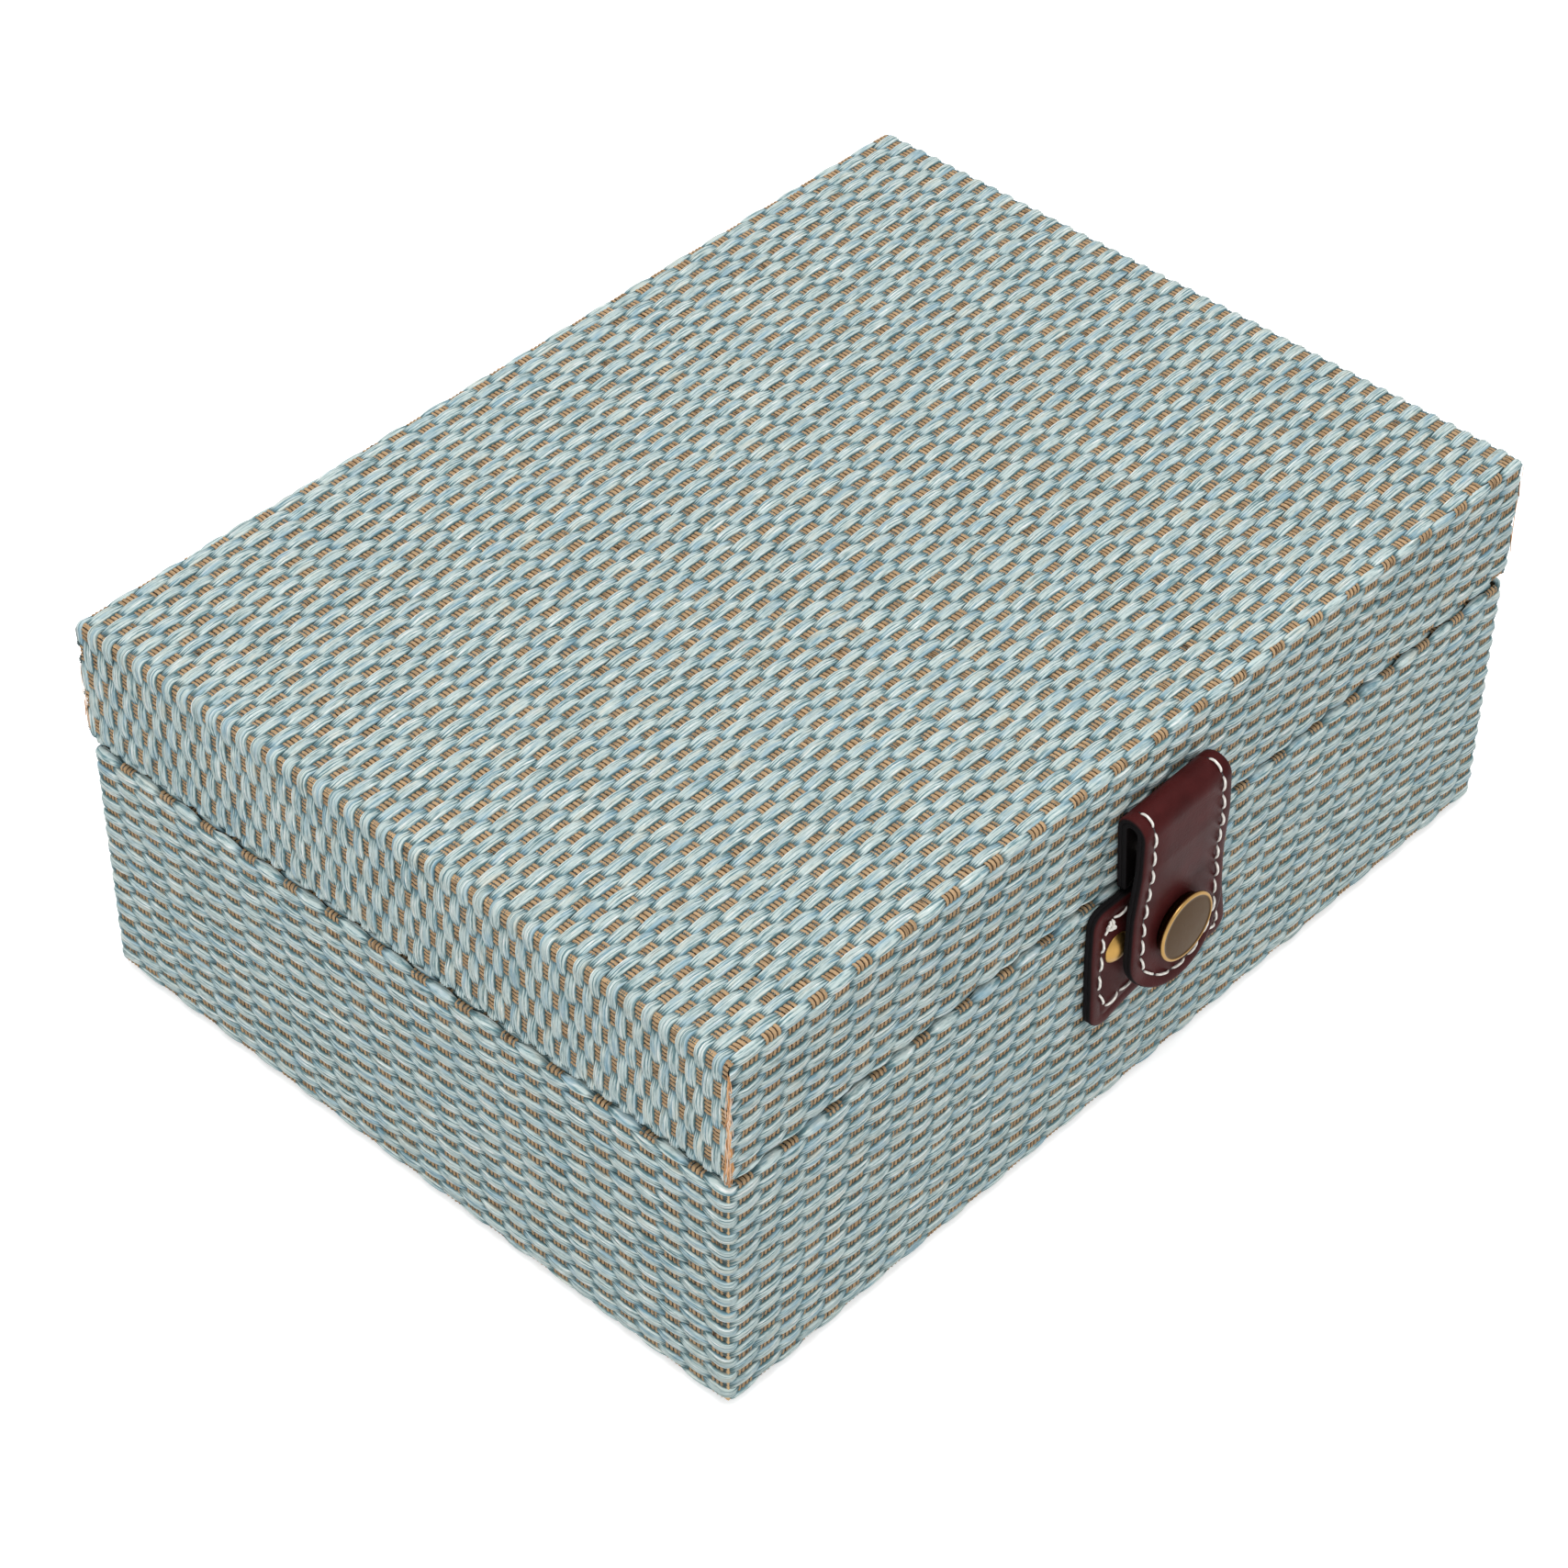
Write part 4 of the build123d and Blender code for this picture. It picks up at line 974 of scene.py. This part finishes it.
def outline_solid(name, outline, spine, profile, carry, material, cuts=None):
    """A flat piece with shaped edges. Ring k is the outline less inset k along its normals, at height k of
    the profile; both faces close on the spine, halfway through a middle ring. carry turns (a, b, height) into
    a point."""
    inset, height = np.array(profile, float).T
    normals = outward(outline)
    rings = [outline - i * normals for i in inset]
    flat = np.stack([spine, (spine + rings[0]) / 2, *rings, (spine + rings[-1]) / 2, spine])
    cuts = [0] * len(inset) if cuts is None else cuts
    heights = np.array([height[0]] * 2 + list(height) + [height[-1]] * 2)[:, None]
    shares = np.array([0.0, 0.0] + list(cuts) + [cuts[-1]] * 2)[:, None]
    points = carry(flat[..., 0], flat[..., 1], np.broadcast_to(heights, flat.shape[:2]))
    faces = grid_faces(*flat.shape[:2], wrap_columns=True)
    return weld(new_piece(name, points, faces, material, cut=np.broadcast_to(shares, flat.shape[:2])))


def ring_of(runs, step):
    """A closed outline through runs of points, resampled at even steps within each run."""
    made = []
    for run in runs:
        run = np.asarray(run, float)
        s = lengths_along(run)
        at = np.linspace(0, s[-1], max(2, int(np.ceil(s[-1] / step)) + 1))[:-1]
        made.append(np.stack([np.interp(at, s, run[:, 0]), np.interp(at, s, run[:, 1])], 1))
    return np.concatenate(made)


def panel(name, node, facing, edge, material, radius):
    """A wrapped or cut panel in a node's box: its face looks along facing, and its edge profile is scaled to
    the node's thickness."""
    low, high = (np.array(corner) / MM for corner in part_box(node))
    axis = int(np.argmax(np.abs(facing)))
    a, b = (axis + 1) % 3, (axis + 2) % 3
    (x0, y0), (x1, y1) = low[[a, b]], high[[a, b]]
    middle = (x0 + x1) / 2
    corners = [(middle, y0), (x1, y0), (x1, y1), (x0, y1), (x0, y0), (middle, y0)]
    outline = ring_of([rounded_path(corners, [radius] * 4)[1]], 2.5)
    spine = np.broadcast_to((low + high)[[a, b]] / 2, outline.shape)
    face = high[axis] if facing[axis] > 0 else low[axis]
    upward = np.sign(facing[axis]) * (high[axis] - low[axis]) / -edge[-1][1]

    def carry(x, z, height):
        """The point on the panel at x and z, over or under its face."""
        made = np.zeros(x.shape + (3,))
        made[..., a], made[..., b], made[..., axis] = x, z, face + height * upward
        return made

    return outline_solid(name, outline, spine, edge, carry, material)


def make_lining(finish):
    """Ten cloth-wrapped panels inside the base and the lid."""
    stuff = new_material("cotton_lining", lining_cotton, finish)
    facings = {"front": (0, 1, 0), "back": (0, -1, 0), "left": (1, 0, 0), "right": (-1, 0, 0)}
    for body, last, way in (("base", "floor", (0, 0, 1)), ("lid", "top", (0, 0, -1))):
        for side, facing in {**facings, last: way}.items():
            node = f"{body}_{side}_lining"
            piece = panel(f"{body}_{side}_panel", node, facing, PANEL_EDGE, stuff, radius=0.8)
            settle(piece, body, "cotton_lining", node)


def make_felt():
    """The felt sheet glued under the base."""
    node = "underside_sheet"
    stuff = new_material("brown_felt", wool_felt)
    piece = panel("underside_felt", node, (0, 0, -1), FELT_EDGE, stuff, radius=2.4)
    settle(piece, "base", "felt", node)


# Strap and tab

# The snap stands at x and z on the front, and the strap's rises count from there
SNAP_X, SNAP_Z = 2.0, 47.0
# How far the strap lies off the base at the snap, how far under the snap its tip starts, and its fold's foot
STRAP_OFF, TIP_FALL, FOLD_FOOT = 6.2, 1.7, 30.4
TIP_HALF, TIP_LENGTH = 13.7, 12.2


def lifted(carry, lift):
    """A carry whose heights are all raised by the lift."""

    def raised(a, b, height):
        """The point at a and b, raised."""
        return carry(a, b, height + lift)

    return raised


def strap_shape(clasp):
    """The strap as a bent band: the carry that bends flat (x, s, height) along its side line, the length s at
    a given rise of its front, and the length at the fold's top. The side line climbs the lid, turns over the
    fold, comes in to the snap and bends out again at the tip."""
    fold = clasp.fold_radius
    top, tip_slope = FOLD_FOOT + fold, 1.4 / (13.9 - 8.2)
    line = [(0, 14.4), (0, top), (2 * fold, top), (2 * fold, 21.5), (STRAP_OFF, 9.5), (STRAP_OFF, -8.2)]
    line.append((STRAP_OFF + tip_slope * 7.9, -16.1))
    path = rounded_path(line, [fold, fold, 12, 12, 12])
    across = np.array([cos(clasp.lean), 0, sin(clasp.lean)])
    upward = np.array([-sin(clasp.lean), 0, cos(clasp.lean)])
    inward = np.array([0, 1.0, 0])
    origin = np.array([SNAP_X, base_low[1], SNAP_Z])
    apex = float(path[0][np.argmax(path[1][:, 1])])
    front = path[0] > apex
    order = np.argsort(path[1][front, 1])

    def carry(x, s, height):
        """The point at x across the strap, s along it and height over its outer face."""
        (out, rise), (n_out, n_rise) = along(path, s)
        out, rise = (out + height * n_out)[..., None], (rise + height * n_rise)[..., None]
        return origin + x[..., None] * across + rise * upward - out * inward

    def at_rise(rise):
        """The length along the strap at which its front has this rise over the snap."""
        return np.interp(rise, path[1][front, 1][order], path[0][front][order])

    return carry, at_rise, apex


def strap_outline(at_rise, start, end, apex):
    """Flat outline of the strap between two lengths along it, straight-sided and cut square, or with its
    half-oval tip where no end is given, and its spine."""
    tip_start = float(at_rise(-TIP_FALL))
    stop = tip_start if end is None else end
    s = np.linspace(start, stop, 160)
    half = np.interp(s, [0, apex, tip_start], [11.6, 12.5, TIP_HALF])
    left, right = np.stack([-half, s], 1), np.stack([half, s], 1)
    if end is None:
        turn = np.linspace(0, pi, 90)
        foot = np.stack([-TIP_HALF * np.cos(turn), at_rise(-TIP_FALL - TIP_LENGTH * np.sin(turn))], 1)
    else:
        foot = [left[-1], right[-1]]
    outline = ring_of([left, foot, right[::-1], [right[0], left[0]]], 0.45)
    room = min(7.0, (stop - start) / 3)
    last = stop if end is None else stop - room
    return outline, np.stack([outline[:, 0] * 0, np.clip(outline[:, 1], start + room, last)], 1)


def stitch_tubes(starts, ends, carry, clasp, surface, rng):
    """Stitches from hole to hole. The middle line of each goes straight from start to end, arches out of its
    hole and into the next as 1 - |2t - 1| to the power 2.6; each hole is a small oval dimple, near-black with
    painted shade, and the thread darkens with painted shade where it dives into its hole."""
    starts = starts + rng.normal(0, 0.09, starts.shape)
    ends = ends + rng.normal(0, 0.09, ends.shape)
    count, samples, sides = len(starts), 15, 8
    t = np.linspace(0, 1, samples)
    crest = 1 - np.abs(2 * t - 1) ** 2.6
    heading = unit(ends - starts)
    side = np.stack([-heading[:, 1], heading[:, 0]], 1)
    angle = np.arange(sides) * 2 * pi / sides
    radius = clasp.thread / 2 * np.sqrt(np.clip(1 - np.abs(2 * t - 1) ** 10, 0, 1))
    middle = starts[:, None, :] + t[:, None] * (ends - starts)[:, None, :]
    flat = middle[:, :, None, :] + side[:, None, None, :] * (radius[:, None] * np.cos(angle))[None, ..., None]
    lift = surface - 0.30 + 0.85 * crest * (1 + 0.12 * rng.normal(0, 1, (count, 1)))
    points = carry(flat[..., 0], flat[..., 1], lift[..., None] + radius[:, None] * np.sin(angle))
    far = np.linalg.norm(ends - starts, axis=1)[:, None, None]
    shift = rng.uniform(0, 50, (count, 1, 1))
    uv = np.stack(np.broadcast_arrays(t[:, None] * far + shift, angle * clasp.thread / 2), -1)
    # Painted shade on the thread where it dives into its hole
    dark = np.broadcast_to((1 - crest[:, None]) ** 2, points.shape[:-1])
    reach, sunk = np.array([(0, 0.035), (0.62, 0.035), (0.78, -0.12), (0, -0.12)]).T
    way, aside = (np.tile(vectors, (2, 1))[:, None, None, :] for vectors in (heading, side))
    oval = np.cos(angle)[:, None] * way * 0.6 + np.sin(angle)[:, None] * aside * 0.55
    hole = np.concatenate([starts, ends])[:, None, None, :] + reach[:, None, None] * oval
    hole_points = carry(hole[..., 0], hole[..., 1], np.broadcast_to(surface + sunk[:, None], hole.shape[:-1]))
    return join([
        (points, tube_faces(count, samples, sides), uv, dark),
        # The holes take the edge's near-black as painted shade
        (hole_points, tube_faces(2 * count, len(reach), sides), hole * 0, hole[..., 0] * 0 + 1),
    ])


def evenly(line, pitch, stitch):
    """Starts and ends of stitches along an open line, at an even pitch."""
    s = lengths_along(line)
    count = round(s[-1] / pitch)
    at = s[-1] * (np.arange(count) + 0.5) / count
    places = (at - stitch / 2, at + stitch / 2)
    return [np.stack([np.interp(place, s, line[:, i]) for i in (0, 1)], 1) for place in places]


def sewn(name, made, finish, body, node):
    """A piece of thread, welded, in the thread's material."""
    points, faces, uv, hole = made
    stuff = new_material("waxed_thread", waxed_thread, finish)
    return settle(weld(new_piece(name, points, faces, stuff, uv=uv, hole=hole)), body, "waxed_thread", node)


def make_strap(clasp, finish):
    """The strap's two layers of leather and its stitching. The lining in front rides on the strap; the outer
    leather, the lining over the fold and the stitching ride on no body and have their transforms baked."""
    carry, at_rise, apex = strap_shape(clasp)
    burgundy = new_material("burgundy_calf", calf_leather, finish, finish.leather)
    dark = new_material("dark_calf_lining", calf_leather, finish, finish.leather_lining)
    outer = (LEATHER_EDGE, carry, burgundy, LEATHER_CUT)
    inner = (LINING_EDGE, lifted(carry, -clasp.leather), dark, LINING_CUT)
    split = float(at_rise(FOLD_FOOT))
    made = []
    for name, start, end, layer, body, nodes in (
        ("strap_leather", 0.0, None, outer, None, ("strap_back_leather", "strap_front_leather")),
        ("strap_fold_lining", 0.0, split, inner, None, ("strap_back_lining",)),
        ("strap_lining", split, None, inner, "strap", ("strap_front_lining",)),
    ):
        outline, spine = strap_outline(at_rise, start, end, apex)
        piece = outline_solid(name, outline, spine, *layer)
        made.append(settle(piece, body, "burgundy_leather", *nodes))
    outline = strap_outline(at_rise, 0.0, None, apex)[0]
    seam = outline - clasp.margin * outward(outline)
    seam = seam[(seam[:, 1] > apex - 1.0) & (outline[:, 1] > apex - 1.0)]
    starts, ends = evenly(seam, pitch=4.7, stitch=clasp.stitch)
    thread = stitch_tubes(starts, ends, carry, clasp, surface=-0.1, rng=np.random.default_rng(5))
    stitching = sewn("strap_stitches", thread, finish, None, "strap_stitching")
    for piece in (made[0], made[1], stitching):
        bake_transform(piece)


def tab_shape():
    """The tab's outline in x and z: slightly bent sides, round corners and a shallow arc between two lobes,
    its spine, and the carry that stands it on the front of the base."""
    low, high, mid, half, rise = 28.1, 58.9, 2.5, 15.0, 2.6
    left = [(-18.6, high), (-18.5, 48.0), (-17.25, low)]
    right = [(23.9, low), (21.0, 44.0), (21.0, high)]
    corners = [(mid + half, low), *right, *left, (mid - half, low)]
    sides = rounded_path(corners, [3.3, 14, 3.2, 3.2, 14, 4.0])[1]
    radius = (half ** 2 + rise ** 2) / (2 * rise)
    turn = asin(half / radius) * np.linspace(-1, 1, 40)
    notch = np.stack([mid + radius * np.sin(turn), low + rise - radius * (1 - np.cos(turn))], 1)
    outline = ring_of([sides, notch], 0.6)

    def carry(x, z, height):
        """The point at x and z, height out of the front."""
        return np.stack(np.broadcast_arrays(x, base_low[1] - height, z), -1)

    return outline, np.broadcast_to([mid, 44.5], outline.shape), carry


def tab_knot(front, thread):
    """The knot at the tab's top left corner: a thread's line of sine loops, and two tails that run straight
    out."""
    x, z, turn = -14.4, 54.9, np.linspace(0, 2 * pi, 90)
    loops = [
        x + 0.9 * np.sin(2 * turn + 0.4) + 0.2 * np.sin(7 * turn),
        front - 0.5 - 0.35 * np.cos(5 * turn),
        z + 0.9 * np.sin(3 * turn) + 0.2 * np.cos(8 * turn),
    ]
    share = turn / (2 * pi)
    tails = [
        [x + dx * share, np.full(len(turn), front - 0.4), z + dz * share + 0.2 * np.sin(turn)]
        for dx, dz in ((-1.5, -1.4), (1.3, -1.2))
    ]
    return tubes(np.moveaxis(np.array([loops, *tails]), 1, 2), thread * 0.46, sides=6)


def make_tab(clasp, finish):
    """The tab's two layers of leather on the base, its stitching and the knot at its top left corner."""
    outline, spine, carry = tab_shape()
    face = 2 * clasp.leather
    for name, node, lift, edge, cuts, stuff in (
        ("tab_outer_leather", "tab_leather", face, LEATHER_EDGE, LEATHER_CUT, "burgundy_calf"),
        ("tab_inner_leather", "tab_lining", clasp.leather, LINING_EDGE, LINING_CUT, "dark_calf_lining"),
    ):
        material = bpy.data.materials[stuff]
        piece = outline_solid(name, outline, spine, edge, lifted(carry, lift), material, cuts)
        settle(piece, "base", "burgundy_leather", node)
    left, right, low, high = -15.9, 19.0, 38.4, 56.2
    notch = [
        (-13.8, 32.6), (-9.9, 33.9), (-6.0, 34.3), (spine[0, 0], 34.6), (11.0, 33.9), (16.0, 32.4),
        (20.2, 31.0),
    ]
    runs = [
        [(left, 53.0), (left, low)], [(left, low), notch[0]], notch, [notch[-1], (right, low), (right, high)],
        [(right, high), (-13.4, 55.8)],
    ]
    pairs = [evenly(np.array(run, float), pitch=4.6, stitch=clasp.stitch + 0.1) for run in runs]
    starts, ends = (np.concatenate([pair[i] for pair in pairs]) for i in (0, 1))
    thread = stitch_tubes(starts, ends, carry, clasp, surface=face - 0.1, rng=np.random.default_rng(8))
    points, faces, uv = tab_knot(base_low[1] - face, clasp.thread)
    both = join([thread, (points, faces, uv, points[..., 0] * 0)])
    sewn("tab_stitches", both, finish, "base", "tab_stitching")


# Snap and fittings

def lathe(name, centre, profile, material, **attributes):
    """A turned piece about an axis that points out of the front: each profile point, a radius and a height,
    goes round it."""
    steps = 96
    radius, height = np.array(profile, float).T[..., None]
    angle = np.arange(steps) * 2 * pi / steps
    x, z = centre[0] + radius * np.cos(angle), centre[1] + radius * np.sin(angle)
    points = np.stack(np.broadcast_arrays(x, base_low[1] - height, z), -1)
    rings = {key: np.repeat(values, steps) for key, values in attributes.items()}
    return weld(new_piece(name, points, grid_faces(*x.shape, wrap_columns=True), material, **rings))


def make_snap():
    """The snap's cap, a shallow dome with a rolled rim, and the two dome rivets with their shanks."""
    bronze = new_material("antique_bronze", turned_metal, "#412D17", 0.32, 0.9, "#AC8954", "#F8F1EA")
    brass = new_material("polished_brass_dome", turned_metal, "#C39A56", 0.4, 0.7)
    crown_radius, crown_top, crown_fall = 6.8, 8.76, 0.22
    crown = [(r, crown_top - crown_fall * (r / crown_radius) ** 2) for r in np.linspace(0, crown_radius, 14)]
    rim = [(7.15 + 0.45 * cos(a), 8.22 + 0.45 * sin(a)) for a in np.radians(np.linspace(120, -60, 12))]
    foot = [(6.7, 7.5), (6.45, 6.9), (6.4, STRAP_OFF), (1.4, STRAP_OFF), (1.4, 4.1), (0, 4.1)]
    worn = [0.0] * len(crown) + [0.2, 0.8] + [1.0] * 8 + [0.8, 0.5] + [0.1] * len(foot)
    cap = lathe("snap_cap_dome", (SNAP_X, SNAP_Z), crown + rim + foot, bronze, worn=worn)
    settle(cap, "strap", "antique_bronze", "snap_cap")
    half, rise, top, shank = 3.4, 1.6, 3.8, 1.0
    radius = (half ** 2 + rise ** 2) / (2 * rise)
    dome = [(radius * sin(a), top - radius * (1 - cos(a))) for a in np.linspace(0, asin(half / radius), 16)]
    stem = [(3.3, 2.16), (shank, 2.16), (shank, -6.2), (0, -6.2)]
    for name, way in (("left", -13.4), ("right", 13.4)):
        rivet = lathe(f"{name}_dome_rivet", (SNAP_X + way, SNAP_Z), dome + stem, brass)
        settle(rivet, "base", "brass", "tab_rivets")


def finish_fittings():
    """Materials of the CAD pieces that are shown as they are."""
    ply = new_material("birch_plywood", birch_plywood)
    brass = new_material("machined_brass", turned_metal, "#C9A253", 0.28, 0.5)
    nickel = new_material("nickel_plated_steel", turned_metal, "#C9C6BE", 0.22, 0.6)
    for node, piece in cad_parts.items():
        if node.endswith("_board"):
            stuff = ply
        elif "hinge" in node:
            stuff = brass
        elif node in ("snap_socket", "snap_stud", "snap_stud_rivet", "strap_tacks"):
            stuff = nickel
        else:
            continue
        piece.data.materials.clear()
        piece.data.materials.append(stuff)


# Stage

# The camera's place in metres, and its right, up and back directions, as for the photograph
CAMERA_AT = (-0.46746989, -0.41722085, 0.59568767)
CAMERA_AXES = (
    (0.6794313, -0.73367432, 0.00975172),
    (0.48860339, 0.46231448, 0.73995408),
    (-0.54739367, -0.49798324, 0.67258669),
)
LENS, SENSOR = 95.785, 36.0
# The sky's strength where it isn't seen directly, the floor's glow where it is, and the lamp's watts
SKY_LIGHT, FLOOR_GLOW, LAMP_POWER = 0.89, 0.5, 11.0
WHITE, PAPER = (1, 1, 1), (0.82, 0.82, 0.82)


def soft_lamp(name, at, size, power):
    """A large square lamp that looks at the box."""
    data = bpy.data.lights.new(name, "AREA")
    data.shape, data.size, data.energy = "SQUARE", size, power
    lamp = bpy.data.objects.new(name, data)
    lamp.location = at
    lamp.rotation_euler = (-lamp.location).to_track_quat("-Z", "Y").to_euler()
    bpy.context.scene.collection.objects.link(lamp)


def seen_directly(tree):
    """1 for camera, glossy and transmission rays, 0 for the rest."""
    camera, glossy, through = (
        add_node(tree, "LightPath", output=f"Is {kind} Ray") for kind in ("Camera", "Glossy", "Transmission")
    )
    first = add_node(tree, "Math", {0: camera, 1: glossy}, operation="MAXIMUM")
    return add_node(tree, "Math", {0: first, 1: through}, operation="MAXIMUM")


def make_stage():
    """White floor that keeps the shadow, white sky, one large lamp, and the camera."""
    scene = bpy.context.scene
    scene.view_settings.view_transform = "Standard"
    half, below = 4000.0, 0.15
    corners = [(x, y, -below) for x, y in ((-half, -half), (half, -half), (half, half), (-half, half))]
    material = bpy.data.materials.new("white_floor")
    tree = cleared(material)
    paper = add_node(tree, "BsdfDiffuse", {"Color": PAPER})
    strength = add_node(tree, "Math", {0: seen_directly(tree), 1: FLOOR_GLOW}, operation="MULTIPLY")
    glow = add_node(tree, "Emission", {"Color": WHITE, "Strength": strength})
    add_node(tree, "OutputMaterial", {"Surface": add_node(tree, "AddShader", {0: paper, 1: glow})})
    new_piece("studio_floor", corners, np.array([[0, 1, 2, 3]]), material)

    scene.world = bpy.data.worlds.new("white_studio")
    tree = cleared(scene.world)
    sky = add_node(tree, "MapRange", {"Value": seen_directly(tree), "To Min": SKY_LIGHT, "To Max": 1.0})
    light = add_node(tree, "Background", {"Color": WHITE, "Strength": sky})
    add_node(tree, "OutputWorld", {"Surface": light})
    soft_lamp("key_softbox", at=(-0.42, -0.29, 1.62), size=0.7, power=LAMP_POWER)

    camera = bpy.data.objects.new("camera", bpy.data.cameras.new("camera"))
    camera.data.lens, camera.data.sensor_width = LENS, SENSOR
    scene.collection.objects.link(camera)
    camera.matrix_world = Matrix.Translation(CAMERA_AT) @ Matrix(CAMERA_AXES).transposed().to_4x4()
    scene.camera = camera


# Add-on

def settings():
    """The box's settings, in millimetres."""
    box = bpy.context.scene.storage_box
    return SimpleNamespace(**{name: in_mm(getattr(box, name)) for name in GROUPS})


class STORAGEBOX_OT_base_cloth(bpy.types.Operator):
    """Weaves the base's cloth round its boards"""
    bl_idname = "storagebox.base_cloth"
    bl_label = "Base cloth"

    def execute(self, context):
        now = settings()
        base_cloth(now.box, now.weave, now.finish)
        return {"FINISHED"}


class STORAGEBOX_OT_lid_cloth(bpy.types.Operator):
    """Weaves the lid's cloth over its boards"""
    bl_idname = "storagebox.lid_cloth"
    bl_label = "Lid cloth"

    def execute(self, context):
        now = settings()
        lid_cloth(now.box, now.weave, now.finish)
        return {"FINISHED"}


class STORAGEBOX_OT_lining(bpy.types.Operator):
    """Makes the ten lining panels"""
    bl_idname = "storagebox.lining"
    bl_label = "Lining panels"

    def execute(self, context):
        make_lining(settings().finish)
        return {"FINISHED"}


class STORAGEBOX_OT_felt(bpy.types.Operator):
    """Makes the felt sheet under the base"""
    bl_idname = "storagebox.felt"
    bl_label = "Underside felt"

    def execute(self, context):
        make_felt()
        return {"FINISHED"}


class STORAGEBOX_OT_strap(bpy.types.Operator):
    """Makes the stitched leather strap"""
    bl_idname = "storagebox.strap"
    bl_label = "Strap"

    def execute(self, context):
        now = settings()
        make_strap(now.clasp, now.finish)
        return {"FINISHED"}


class STORAGEBOX_OT_tab(bpy.types.Operator):
    """Makes the stitched leather tab under the strap, from the strap's leathers"""
    bl_idname = "storagebox.tab"
    bl_label = "Tab"

    def execute(self, context):
        now = settings()
        make_tab(now.clasp, now.finish)
        return {"FINISHED"}


class STORAGEBOX_OT_snap(bpy.types.Operator):
    """Makes the snap's cap and the dome rivets"""
    bl_idname = "storagebox.snap"
    bl_label = "Snap and rivets"

    def execute(self, context):
        make_snap()
        return {"FINISHED"}


class STORAGEBOX_OT_fittings(bpy.types.Operator):
    """Gives the boards, hinges, screws, tacks and snap parts their finishes"""
    bl_idname = "storagebox.fittings"
    bl_label = "Boards and fittings"

    def execute(self, context):
        finish_fittings()
        return {"FINISHED"}


class STORAGEBOX_OT_stage(bpy.types.Operator):
    """Adds the floor, the sky, the lamp and the camera"""
    bl_idname = "storagebox.stage"
    bl_label = "Stage"

    def execute(self, context):
        make_stage()
        return {"FINISHED"}


OPERATORS = (
    STORAGEBOX_OT_base_cloth, STORAGEBOX_OT_lid_cloth, STORAGEBOX_OT_lining, STORAGEBOX_OT_felt,
    STORAGEBOX_OT_strap, STORAGEBOX_OT_tab, STORAGEBOX_OT_snap, STORAGEBOX_OT_fittings, STORAGEBOX_OT_stage,
)


class STORAGEBOX_PT_panel(bpy.types.Panel):
    """Lists the steps that build the storage box, and its settings"""
    bl_idname = "STORAGEBOX_PT_panel"
    bl_label = "Storage box"
    bl_space_type = "VIEW_3D"
    bl_region_type = "UI"
    bl_category = "Storage box"

    def draw(self, context):
        for operator in OPERATORS:
            self.layout.operator(operator.bl_idname)
        for name in GROUPS:
            group = getattr(context.scene.storage_box, name)
            for key in group.__annotations__:
                self.layout.prop(group, key)


CLASSES = (BoxSizes, WeaveSizes, ClaspSizes, Finishes, StorageBoxSettings, *OPERATORS, STORAGEBOX_PT_panel)


def register():
    """Registers the classes and puts the settings on the scene."""
    for cls in CLASSES:
        bpy.utils.register_class(cls)
    bpy.types.Scene.storage_box = bpy.props.PointerProperty(type=StorageBoxSettings)


def unregister():
    """Takes the settings off the scene and unregisters the classes."""
    del bpy.types.Scene.storage_box
    for cls in reversed(CLASSES):
        bpy.utils.unregister_class(cls)


def main():
    """Builds every piece in order."""
    register()
    for operator in OPERATORS:
        group, name = operator.bl_idname.split(".")
        getattr(getattr(bpy.ops, group), name)()
    bpy.context.view_layer.update()


if __name__ == "__main__":
    main()
